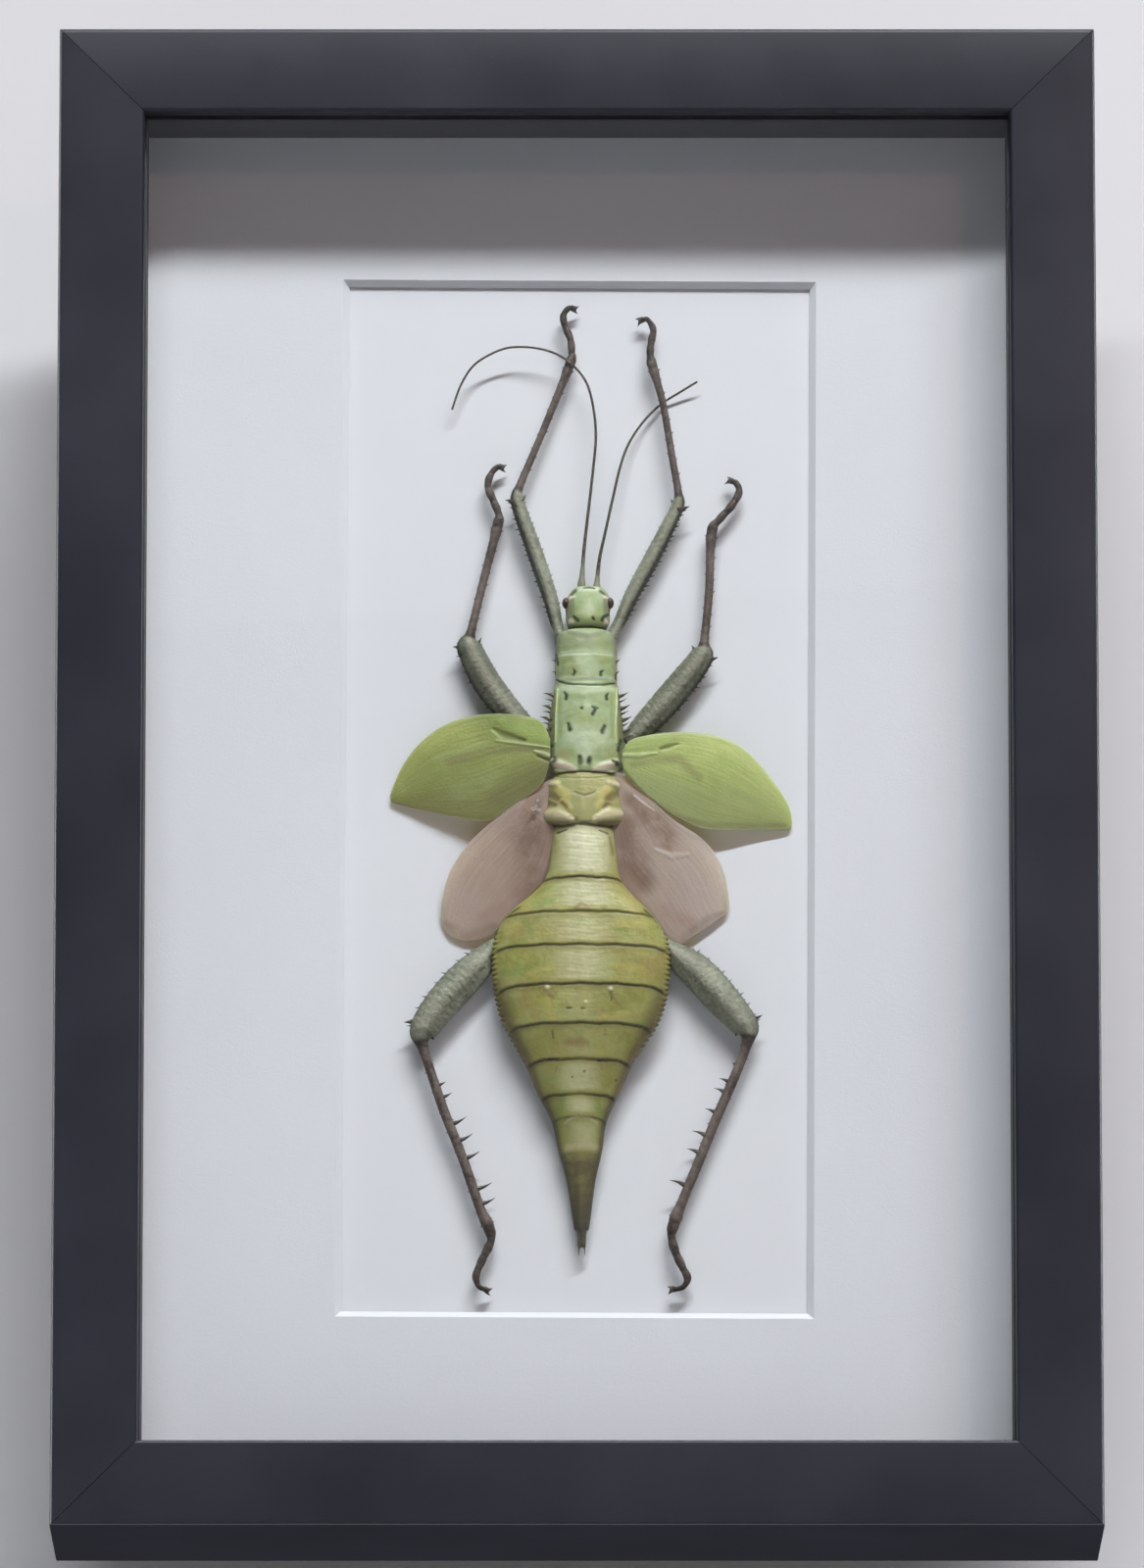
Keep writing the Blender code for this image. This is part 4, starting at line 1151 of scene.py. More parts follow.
# Each side thorn: its z, how far it reaches from the middle line, and its girth
SIDE_THORNS = [
    (197.4, 7.6, 0.5), (194.8, 7.5, 0.45),
    (189.9, 9.4, 0.55), (188.5, 9.0, 0.4), (187.1, 9.8, 0.6), (185.8, 9.5, 0.45),
    (184.5, 10.2, 0.6), (183.2, 9.8, 0.4), (181.9, 10.2, 0.55), (180.1, 9.8, 0.4),
    (176.5, 10.1, 0.5),
]
BODY_LINE = 1.95
roots, tips, girths = [], [], []
for z, reach, girth in SIDE_THORNS:
    for side in (-1, 1):
        inset = 1.9 if z > 191 else 2.6
        roots.append((BODY_LINE + side * (reach - inset), z - 0.7, 4.8))
        tips.append((BODY_LINE + side * reach, z, 5.6 + 0.5 * side))
        girths.append(girth * 1.2)
add_thorns("thorax_thorns", green_thorns, "mint_body", roots, tips, girths)
# Two short prongs end the tail
add_thorns(
    "tail_prongs",
    green_thorns,
    "olive_abdomen",
    [(0.75, 69.4, 2.9), (1.35, 69.4, 2.9)],
    [(0.35, 63.7, 2.6), (1.75, 63.7, 2.6)],
    0.62,
    0.0,
)


# Head
# A rounded mint capsule, widest at its small brown eyes, with dark marks between and behind them.
HEAD_RINGS = [
    (213.9, 2.6, 2.9, 3.2, 6.7),
    (213.1, 2.6, 3.9, 2.2, 7.5),
    (210.6, 2.5, 5.1, 1.4, 8.0),
    (208.4, 2.4, 4.9, 1.2, 8.2),
    (206.2, 2.4, 4.8, 1.2, 8.2),
    (204.6, 2.3, 4.2, 1.6, 7.4),
]
HEAD_STEP, HEAD_ACROSS = 0.12, 110
# Colour marks by kind, as on the abdomen
HEAD_MARKS = {
    "dot": [
        [(-1.2, 212.0, 0.24), (-0.4, 212.7, 0.42)], [(5.2, 212.6, 0.4), (6.0, 212.0, 0.24)],
        [(1.5, 213.3, 0.2), (2.7, 213.4, 0.28), (3.9, 213.2, 0.2)],
        [(-0.7, 206.8, 0.26), (0.2, 205.9, 0.44)], [(3.5, 206.3, 0.34), (3.7, 206.0, 0.26)],
        [(7.1, 207.6, 0.24), (5.9, 206.8, 0.36), (5.5, 206.0, 0.36)],
    ],
    "shade": [
        [(-2.4, 205.1, 0.35), (-1.3, 204.5, 0.5), (0.3, 204.3, 0.6), (5.2, 204.3, 0.6),
         (7.3, 205.1, 0.35)],
    ],
    "beige": [
        [(-1.4, 211.2, 0.45), (-0.4, 211.3, 0.22)], [(5.9, 211.3, 0.36), (6.6, 211.2, 0.3)],
        [(-1.4, 205.9, 0.5), (-1.0, 205.6, 0.35)], [(6.3, 205.9, 0.5), (6.6, 205.8, 0.35)],
    ],
    "pale": [[(0.6, 213.0, 0.5), (4.6, 213.0, 0.5)], [(2.6, 208.6, 1.4)]],
    "moss": [[(-0.8, 210.6, 0.3), (-0.7, 207.4, 0.4)], [(6.0, 210.6, 0.3), (6.0, 207.8, 0.3)]],
}


def head_relief(z, side, up, x):
    """Dents the marks, raises the plate between the eyes and hollows the cheeks beside it."""
    on_back = ramp(up, 0.0, 0.2)
    masks = marked(x, z, on_back, HEAD_MARKS)
    plate = (1 - ramp(np.abs(x - 2.5), 3.1, 3.8)) * on_back * (1 - ramp(z, 212.2, 213.2))
    lift = 0.15 * plate - 0.1 * masks["dot"] + 0.15 * masks["beige"]
    return lift, masks | {
        "front": (1 - plate) * 0.8,
        "edge": (1 - plate) * (1 - ramp(z, 212.0, 212.8)) * 0.9,
        # Painted shade on the underside, towards the board
        "under": 1 - on_back,
        "joint": bump(z - 204.5, 0.5) * 0.7,
    }


points, values = oval_body(HEAD_RINGS, HEAD_STEP, HEAD_ACROSS, head_relief)
add_shell("head_capsule", points, values, mint, "mint_body", "head")


def bead(middle, radii, rows=14, around=20):
    """An egg: rings at turn a along z, of radius sin(a), with half sizes across, up and out."""
    turn = np.linspace(0.05, math.pi - 0.05, rows)[:, None]
    about = np.linspace(0, 2 * math.pi, around, endpoint=False)[None, :]
    x = middle[0] + radii[0] * np.sin(turn) * np.cos(about)
    z = middle[1] + radii[1] * np.cos(turn) * np.ones_like(about)
    height = middle[2] + radii[2] * np.sin(turn) * np.sin(about)
    return on_board(x, z, np.maximum(height, CLEARANCE))


def eye_skin():
    """Dry dark brown eyes, redder in places, faintly glossy and finely faceted."""
    finish = Finish("eye_skin", Specular_IOR_Level=0.5, Roughness=0.32)
    facets = finish.node("TexVoronoi", Vector=finish.place(), Scale=5200.0).outputs["Distance"]
    colour = finish.blend(finish.noise(700.0), (0.028, 0.016, 0.010), (0.085, 0.046, 0.028))
    return finish.wear(Base_Color=colour, Normal=finish.relief(facets, 0.00006, 0.5))


EYES = {"eye_left": (-2.45, 210.3, 5.2), "eye_right": (7.35, 210.3, 5.2)}
EYE_HALF_SIZES = (0.85, 1.25, 1.15)
eye_finish = eye_skin()
for name, middle in EYES.items():
    add_shell(name, bead(middle, EYE_HALF_SIZES), {}, eye_finish, "mint_body")


# Legs
# Six legs: a flat green thigh with thorny edges, a thin brown shank, a dark five-jointed foot
# and a pair of hooked claws.
# Stations run from the body to the claws, as (x, z, height, radius)
LEGS = {
    "leg_front_left": [
        (-3.3, 202.8, 3.6, 1.0), (-4.5, 205.9, 3.2, 1.1), (-6.0, 212.1, 3.4, 1.35),
        (-9.3, 222.1, 3.6, 1.45), (-12.6, 231.6, 3.8, 1.3), (-13.3, 235.0, 3.9, 1.05),
        (-12.3, 238.4, 3.8, 0.75), (-7.5, 250.1, 3.4, 0.7), (-1.7, 265.0, 3.1, 0.78),
        (-1.2, 268.0, 3.1, 0.6), (-1.5, 271.2, 3.0, 0.6), (-2.7, 274.1, 2.9, 0.55),
        (-3.0, 276.6, 2.8, 0.55), (-1.7, 278.3, 2.7, 0.42), (-0.1, 278.0, 2.4, 0.2),
    ],
    "leg_front_right": [
        (7.6, 203.0, 3.6, 1.0), (9.4, 206.4, 3.2, 1.1), (12.3, 212.8, 3.4, 1.35),
        (16.2, 220.1, 3.6, 1.45), (20.6, 228.8, 3.8, 1.3), (22.5, 233.2, 3.9, 1.05),
        (22.4, 236.6, 3.8, 0.75), (21.0, 244.9, 3.6, 0.7), (19.1, 256.4, 3.4, 0.7),
        (16.8, 264.9, 3.2, 0.78), (16.3, 267.9, 3.1, 0.6), (16.6, 270.7, 3.0, 0.6),
        (17.0, 273.3, 2.9, 0.55), (15.6, 275.7, 2.7, 0.42), (13.7, 275.2, 2.4, 0.2),
    ],
    "leg_middle_left": [
        (-7.6, 179.6, 2.6, 1.7), (-12.5, 183.4, 2.8, 2.3), (-19.5, 192.0, 3.2, 2.6),
        (-23.4, 199.4, 3.5, 2.3), (-24.0, 201.9, 3.5, 1.7), (-23.4, 204.6, 3.4, 0.88),
        (-20.8, 215.7, 3.2, 0.8), (-17.7, 228.2, 3.0, 0.85), (-17.4, 231.0, 3.0, 0.65),
        (-18.6, 234.2, 2.9, 0.65), (-19.8, 237.5, 2.8, 0.6), (-19.1, 240.3, 2.7, 0.55),
        (-17.5, 242.0, 2.6, 0.42), (-16.2, 241.6, 2.4, 0.2),
    ],
    "leg_middle_right": [
        (11.2, 178.9, 2.6, 1.7), (14.6, 182.6, 2.8, 2.3), (21.0, 189.8, 3.2, 2.6),
        (26.6, 196.9, 3.5, 2.3), (28.0, 199.7, 3.5, 1.7), (28.3, 202.6, 3.4, 0.88),
        (29.3, 213.2, 3.2, 0.8), (29.9, 226.6, 3.0, 0.85), (31.6, 229.8, 3.0, 0.65),
        (34.2, 232.8, 2.9, 0.65), (36.0, 236.0, 2.8, 0.6), (35.4, 238.2, 2.7, 0.5),
        (33.5, 238.9, 2.4, 0.2),
    ],
    "leg_hind_left": [
        (-17.4, 134.2, 1.8, 1.1), (-21.2, 129.6, 3.0, 2.4), (-25.4, 125.2, 3.3, 2.9),
        (-30.3, 119.5, 3.4, 2.8), (-33.3, 115.2, 3.5, 2.4), (-34.4, 112.5, 3.5, 1.6),
        (-33.5, 108.8, 3.4, 0.95), (-29.7, 97.1, 3.2, 0.95), (-25.2, 85.5, 3.1, 0.95),
        (-21.5, 74.7, 3.0, 0.95), (-19.6, 70.4, 3.0, 0.95), (-18.9, 67.5, 2.9, 0.7),
        (-19.7, 65.1, 2.9, 0.7), (-21.0, 62.4, 2.8, 0.65), (-22.2, 59.2, 2.7, 0.6),
        (-21.5, 56.8, 2.6, 0.45), (-19.2, 55.9, 2.4, 0.22),
    ],
    "leg_hind_right": [
        (19.2, 133.7, 1.8, 1.1), (23.1, 130.2, 3.0, 2.4), (27.0, 126.8, 3.3, 2.9),
        (31.8, 121.4, 3.4, 2.9), (36.0, 116.5, 3.5, 2.4), (37.8, 113.6, 3.5, 1.6),
        (37.1, 109.8, 3.4, 0.95), (34.5, 103.1, 3.2, 0.95), (30.6, 94.1, 3.1, 0.95),
        (26.7, 84.4, 3.0, 0.95), (23.2, 75.8, 3.0, 0.95), (21.5, 71.4, 3.0, 0.95),
        (20.8, 68.1, 2.9, 0.7), (21.7, 64.4, 2.9, 0.7), (23.2, 61.1, 2.8, 0.65),
        (24.3, 58.6, 2.7, 0.6), (23.2, 56.6, 2.6, 0.45), (20.4, 56.1, 2.4, 0.22),
    ],
}
# Where each leg's knee and ankle lie, as their z
KNEES = {
    "leg_front_left": (236.0, 264.6), "leg_front_right": (234.6, 264.4),
    "leg_middle_left": (202.6, 228.0), "leg_middle_right": (200.6, 226.4),
    "leg_hind_left": (112.0, 70.2), "leg_hind_right": (113.2, 71.2),
}
# The tips of the large thorns, as (x, z, height)
SPINE_TIPS = {
    "leg_front_left": [(-10.2, 219.6, 4.2), (-12.2, 225.4, 4.2), (-14.2, 230.6, 4.4)],
    "leg_front_right": [(17.6, 218.2, 4.2), (20.2, 223.4, 4.2), (23.0, 228.6, 4.4)],
    "leg_middle_left": [
        (-19.2, 186.8, 3.6), (-22.6, 193.6, 3.8), (-21.6, 189.6, 5.4), (-25.9, 199.4, 4.0),
        (-16.0, 192.6, 3.6),
    ],
    "leg_middle_right": [
        (20.6, 184.8, 3.6), (26.2, 190.6, 3.8), (29.3, 196.6, 4.0), (17.2, 190.4, 3.6),
    ],
    "leg_hind_left": [
        (-36.6, 113.7, 3.8), (-31.6, 122.6, 4.2), (-27.8, 127.6, 4.2), (-35.2, 117.8, 4.2),
        (-32.4, 113.2, 3.8), (-29.0, 102.4, 4.0), (-27.6, 100.0, 4.0), (-24.4, 94.6, 4.0),
        (-23.0, 90.8, 4.0), (-21.5, 86.8, 4.0), (-18.7, 79.9, 3.8), (-18.1, 76.4, 3.8),
    ],
    "leg_hind_right": [
        (40.3, 115.0, 3.8), (33.6, 124.9, 4.2), (29.4, 129.4, 4.2), (37.4, 120.2, 4.2),
        (35.6, 113.6, 3.8), (34.2, 106.6, 4.0), (31.4, 103.2, 4.0), (30.2, 101.0, 4.0),
        (28.3, 96.4, 4.0), (25.4, 91.4, 4.0), (24.2, 87.4, 4.0), (20.4, 80.4, 3.8),
    ],
}


LIMB_CLEARANCE = 0.12


def limb_tube(stations, step, around, swell):
    """A closed tube along stations (x, z, height, radius).

    Its ring at each row is spanned by the sideways way in the board's plane and the way out of
    the board, both square to the path. Swell gets the share along, the turn and the place, and
    hands back how much the radius grows, how flat the section is, and the values to carry.
    """
    run = even_run(stations, step)
    x, z, height, radius = run.T
    slope = np.gradient(run[:, :3], axis=0)
    slope /= np.linalg.norm(slope, axis=1)[:, None]
    sideways = np.stack([-slope[:, 1], slope[:, 0]], 1)
    sideways /= np.linalg.norm(sideways, axis=1)[:, None]
    turn = np.linspace(0, 2 * math.pi, around, endpoint=False)[None, :]
    share = np.linspace(0, 1, len(run))[:, None]
    along, turned = np.broadcast_arrays(share, turn)
    growth, flat, values = swell(along, turned, z[:, None], x[:, None])
    reach = radius[:, None] * growth
    across = reach * np.cos(turned)
    up = reach * np.sin(turned) * flat
    points = on_board(
        x[:, None] + across * sideways[:, :1],
        z[:, None] + across * sideways[:, 1:],
        np.maximum(height[:, None] + up, LIMB_CLEARANCE),
    )
    return points, values, run, sideways


LEG_LAYERS = [
    ("ridge", 0.35, (0.42, 0.41, 0.31)),
    ("band", 0.32, (0.08, 0.09, 0.055)),
    # The dark edge holds the leg's dark joints and lines, and painted shade along the thighs' outer
    # side
    ("edge", 0.9, (0.022, 0.021, 0.014)),
]


def leg_skin():
    """Grey-green thigh, brown shank, dark foot and black claws, blended along the leg."""
    finish = Finish("leg_skin", Specular_IOR_Level=0.35)
    along = finish.noise(210.0, 4.0, 0.65)
    fine = finish.noise(1100.0, 4.0, 0.7)
    cloud = finish.spread(finish.plus(along, fine), 0.78, 1.22)
    thigh = finish.blend(cloud, (0.185, 0.20, 0.145), (0.37, 0.385, 0.29))
    shade = finish.times(finish.carried("tone"), 0.6)
    thigh = finish.blend(shade, thigh, (0.095, 0.105, 0.07))
    shank = finish.blend(cloud, (0.054, 0.038, 0.031), (0.195, 0.155, 0.13))
    foot = finish.blend(cloud, (0.016, 0.011, 0.009), (0.13, 0.098, 0.078))
    colour = finish.blend(finish.carried("shank"), thigh, shank)
    colour = finish.blend(finish.carried("foot"), colour, foot)
    colour = finish.lay(colour, LEG_LAYERS)
    grain = finish.group(speckle, Fine=5200.0, Broad=1300.0)
    height = finish.plus(grain["Mottle"], finish.times(along, 0.8))
    return finish.wear(
        Base_Color=colour,
        Roughness=finish.spread(grain["Mottle"], 0.3, 0.7, 0.45, 0.68),
        Normal=finish.relief(height, 0.00035, 0.9),
    )


leg_finish = leg_skin()
brown_thorns = thorn_skin("brown_thorns", (0.03, 0.024, 0.018), (0.13, 0.11, 0.085))
LEG_STEP = 0.22
LEG_AROUND = 32
FOOT_JOINTS = 5
SHANK_BRISTLES = 18
THIGH_TOOTH_SPACING = 1.5
# How dark each pair's thighs are, and where across them the black outer line begins. The line is
# partly the leg's own dark line and partly painted shade along the thigh's outer side.
LEG_TONES = {"front": (0.0, 0.58), "middle": (0.75, 0.8), "hind": (0.0, 0.86)}


def make_leg(name, stations):
    """A leg as one closed tube, keeled and toothed along the thigh, jointed along the foot."""
    knee_z, ankle_z = KNEES[name]
    left = name.endswith("left")
    pair = name.split("_")[1]
    tone, line_start = LEG_TONES[pair]
    run = even_run(stations, LEG_STEP)
    count = len(run) - 1
    knee = np.argmin(np.abs(run[:, 1] - knee_z)) / count
    ankle = np.argmin(np.abs(run[:, 1] - ankle_z) + 3 * (np.arange(count + 1) / count < knee))
    ankle = ankle / count
    # The side of the leg that faces away from the body: the sideways way points left going up
    outer = (1 if left else -1) * (1 if run[-1, 1] > run[0, 1] else -1)

    def swell(along, turn, z, x):
        """Keels and lumps on the thigh, knobs at knee and ankle, and rings along the foot."""
        thigh = 1 - ramp(along, knee - 0.006, knee + 0.012)
        foot = ramp(along, ankle - 0.01, ankle + 0.01)
        shank = (1 - thigh) * (1 - foot)
        joints = 0.5 + 0.5 * np.cos((along - ankle) / (1 - ankle) * FOOT_JOINTS * 2 * math.pi)
        side = np.cos(turn) * outer
        keel = bump(np.abs(side) - 1, 0.16)
        crest = bump(np.sin(turn) - 1, 0.12)
        lumps = np.sin(along * count * 0.9) * np.sin(turn * 3 + along * 70)
        growth = 1 + 0.07 * np.cos(4 * turn) * thigh + 0.09 * keel * thigh + 0.025 * lumps
        growth = growth + 0.1 * crest * (thigh + 0.6 * shank)
        growth = growth * (1 + 0.14 * shank + 0.45 * foot - 0.22 * foot * joints)
        growth = growth * (1 + (0.16 if pair == "hind" else 0.06) * thigh)
        growth = growth * (1 + 0.12 * bump(along - knee + 0.016, 0.02))
        growth = growth * (1 + 0.24 * bump(along - ankle + 0.012, 0.02))
        # The thigh's outer line: partly its own dark line, partly painted shade on the outer side
        edge = thigh * ramp(side, line_start, line_start + 0.2) * ramp(along, 0.02, 0.06)
        edge = np.maximum(edge, bump(along - knee - 0.008, 0.006) * 0.8)
        edge = np.maximum(edge, foot * ramp(joints, 0.8, 1.0) * 0.9)
        edge = np.maximum(edge, ramp(along, 0.955, 0.975))
        band = thigh * bump(np.sin(turn) - 0.5, 0.25) * (0.6 + 0.4 * np.sin(along * 23 + 1))
        stripe = shank * bump(side - 0.9, 0.3) * 0.8
        return growth, 1 - 0.22 * thigh, {
            "shank": 1 - thigh, "foot": foot, "edge": edge, "ridge": crest * thigh,
            "band": np.maximum(band, stripe), "tone": tone * np.ones_like(along),
        }

    points, values, run, sideways = limb_tube(stations, LEG_STEP, LEG_AROUND, swell)
    add_shell(f"{name}_skin", points, values, leg_finish, "legs", name)
    tips = [tuple(tip) for tip in SPINE_TIPS[name]]
    roots = [run[np.argmin(np.hypot(run[:, 0] - x, run[:, 1] - z))][:3] for x, z, _ in tips]
    girths = [0.8] * len(tips)

    def spike(share, way, inset, reach, lean, girth):
        """A thorn on one edge at a share of the leg, leaning along it towards the foot."""
        row = min(int(share * count), count - 6)
        x, z, height, radius = run[row]
        ahead = run[row + 5, :2] - run[row, :2]
        ahead = ahead / np.linalg.norm(ahead) * lean
        start = sideways[row] * way * max(radius - inset, 0)
        stop = sideways[row] * way * (radius * 1.1 + reach) + ahead
        roots.append((x + start[0], z + start[1], height))
        tips.append((x + stop[0], z + stop[1], height + 0.2))
        girths.append(girth)

    # Small teeth along both edges of the thigh, uneven in size
    teeth = int(knee * count * LEG_STEP / THIGH_TOOTH_SPACING)
    for number, share in enumerate(np.linspace(0.14 * knee, knee * 0.93, teeth)):
        size = 0.4 + 0.12 * ((number * 7) % 5)
        spike(share, outer, 0.5, size * (1.7 if pair == "hind" else 1.1), 0.7, 0.6)
        spike(share + 0.004, -outer, 0.5, size * 0.7, 0.7, 0.4)
    # A pointed lobe on either side of the knee, the outer one longer
    spike(knee - 0.03, outer, 1.0, 2.0 if pair == "hind" else 1.3, 1.4, 1.3)
    spike(knee - 0.03, -outer, 1.0, 0.7, 1.4, 1.0)
    # Fine bristles along both edges of the shank, and short spurs at its end
    for number, share in enumerate(np.linspace(knee + 0.03, ankle - 0.02, SHANK_BRISTLES)):
        spike(share, 1 if number % 2 else -1, 0.4, 0.25 + 0.1 * (number % 3), 0.5, 0.36)
    for way in (-1, 1):
        spike(ankle - 0.012, way, 0.4, 0.6, 0.6, 0.6)
    # A pair of hooked claws at the end of the foot
    x, z, height, _ = run[-5]
    ahead = (run[-1, :2] - run[-9, :2]) / np.linalg.norm(run[-1, :2] - run[-9, :2])
    for way in (-1, 1):
        across = np.array([-ahead[1], ahead[0]]) * way
        tip = np.array([x, z]) + ahead * 1.3 + across * 0.9
        roots.append((x, z, height))
        tips.append((*tip, max(height - 0.9, 0.3)))
        girths.append(0.75)
    add_thorns(f"{name}_thorns", brown_thorns, "legs", roots, tips, girths)


for name, stations in LEGS.items():
    make_leg(name, stations)


# Antennae
# Two long threads of short dark joints on thicker green-brown bases.
# Stations run from the head outward, as (x, z, height, radius)
ANTENNAE = {
    "antenna_left": [
        (0.7, 212.4, 5.0, 0.5), (1.0, 214.5, 5.0, 0.5), (1.6, 222.9, 5.2, 0.36),
        (2.7, 232.7, 5.2, 0.3), (3.6, 241.0, 5.1, 0.28), (4.2, 248.4, 5.0, 0.27),
        (3.6, 255.2, 4.9, 0.26), (2.1, 260.7, 4.8, 0.25), (-0.8, 264.6, 4.7, 0.25),
        (-4.7, 267.4, 4.5, 0.25), (-9.6, 268.8, 4.3, 0.24), (-15.0, 268.9, 4.1, 0.24),
        (-19.3, 267.4, 3.9, 0.23), (-23.2, 264.7, 3.6, 0.23), (-25.9, 260.4, 3.2, 0.22),
        (-27.8, 255.0, 2.8, 0.2),
    ],
    "antenna_right": [
        (4.4, 212.4, 5.0, 0.5), (4.4, 214.5, 5.0, 0.5), (5.0, 220.4, 5.2, 0.36),
        (6.3, 226.6, 5.0, 0.3), (8.2, 235.4, 4.6, 0.28), (9.5, 241.2, 4.0, 0.27),
        (11.0, 246.0, 3.2, 0.26), (13.2, 250.2, 2.4, 0.25), (16.2, 254.2, 1.6, 0.25),
        (19.5, 257.2, 1.2, 0.24), (22.8, 259.2, 1.6, 0.23), (26.8, 261.5, 2.4, 0.22),
    ],
}
ANTENNA_JOINTS = 34
ANTENNA_STEP, ANTENNA_AROUND = 0.3, 12


def antenna_skin():
    """Brown-black thread with paler bands, greener at its base."""
    finish = Finish("antenna_skin", Specular_IOR_Level=0.4, Roughness=0.5)
    band = finish.carried("band")
    dark = finish.blend(finish.noise(700.0), (0.022, 0.018, 0.014), (0.05, 0.042, 0.03))
    colour = finish.blend(finish.spread(band, 0.55, 0.95), dark, (0.12, 0.105, 0.07))
    colour = finish.blend(finish.carried("base"), colour, (0.26, 0.265, 0.19))
    return finish.wear(Base_Color=colour)


antenna_finish = antenna_skin()
for name, stations in ANTENNAE.items():

    def swell(along, turn, z, x):
        """Short joints along the thread, and a thick base."""
        joints = 0.5 + 0.5 * np.cos(along * ANTENNA_JOINTS * 2 * math.pi)
        growth = 1 + 0.16 * joints + 0.7 * bump(along - 0.02, 0.028)
        return growth, 1.0, {"band": joints, "base": 1 - ramp(along, 0.05, 0.11)}

    points, values, _, _ = limb_tube(stations, ANTENNA_STEP, ANTENNA_AROUND, swell)
    add_shell(f"{name}_thread", points, values, antenna_finish, "antennae", name)


# Wings
# Two short green forewings, leathery and veined, and two pleated pinkish hindwings, all spread
# flat by the preparer and sloping from the back down to the board.
# Both edges run from root to tip as (x, z), and the root and tip are given as (x, z, height)
WINGS = {
    "forewing_left": {
        "lead": [
            (-5.9, 179.0), (-7.9, 183.0), (-11.8, 184.4), (-18.1, 185.2), (-24.2, 184.7),
            (-29.2, 183.2), (-33.3, 180.6), (-36.8, 177.0), (-39.4, 172.8), (-41.2, 168.2),
            (-41.2, 166.6),
        ],
        "trail": [
            (-5.9, 174.2), (-7.6, 169.4), (-10.8, 166.6), (-15.9, 163.3), (-20.1, 161.2),
            (-28.5, 162.6), (-36.8, 164.8), (-40.8, 166.0), (-41.2, 166.6),
        ],
        "root": (-6, 177, 7.2),
        "tip": (-41, 167, 0.9),
    },
    "forewing_right": {
        "lead": [
            (10.0, 176.4), (11.8, 178.8), (15.1, 179.9), (19.2, 180.7), (25.5, 181.0),
            (30.9, 180.4), (35.9, 178.4), (40.0, 174.8), (43.8, 170.2), (46.8, 165.4),
            (47.6, 161.8), (47.4, 160.6),
        ],
        "trail": [
            (9.9, 174.0), (10.9, 170.8), (14.2, 167.5), (18.7, 164.2), (23.5, 161.4),
            (27.8, 159.7), (33.7, 159.4), (40.0, 159.7), (46.5, 159.8), (47.4, 160.6),
        ],
        "root": (10, 175, 7.2),
        "tip": (47, 161, 0.9),
    },
    "hindwing_left": {
        "lead": [
            (-4.6, 170.8), (-9.2, 168.6), (-12.8, 165.6), (-16.4, 162.7), (-20.1, 159.9),
            (-24.2, 156.0), (-27.6, 151.3), (-29.3, 146.7), (-30.1, 141.6), (-29.8, 138.4),
            (-28.3, 136.0), (-26.6, 135.2),
        ],
        "trail": [
            (-4.4, 167.6), (-4.6, 161.6), (-4.9, 155.6), (-6.2, 149.6), (-10.2, 144.8),
            (-14.4, 140.6), (-18.4, 136.4), (-21.6, 134.8), (-24.4, 134.5), (-26.6, 135.2),
        ],
        "root": (-7, 160, 5.4),
        "tip": (-28, 137, 0.9),
    },
    "hindwing_right": {
        "lead": [
            (7.6, 172.6), (12.8, 170.0), (16.8, 165.6), (21.4, 161.4), (27.6, 157.4),
            (30.9, 153.5), (32.7, 149.3), (33.6, 144.3), (33.6, 141.8), (32.6, 140.6),
            (29.1, 139.3),
        ],
        "trail": [
            (7.2, 169.0), (7.2, 161.6), (7.2, 154.6), (8.6, 148.4), (11.8, 144.4),
            (15.8, 140.0), (19.8, 135.2), (22.8, 134.0), (25.9, 135.6), (29.1, 139.3),
        ],
        "root": (10, 160, 5.4),
        "tip": (31, 137, 0.9),
    },
}
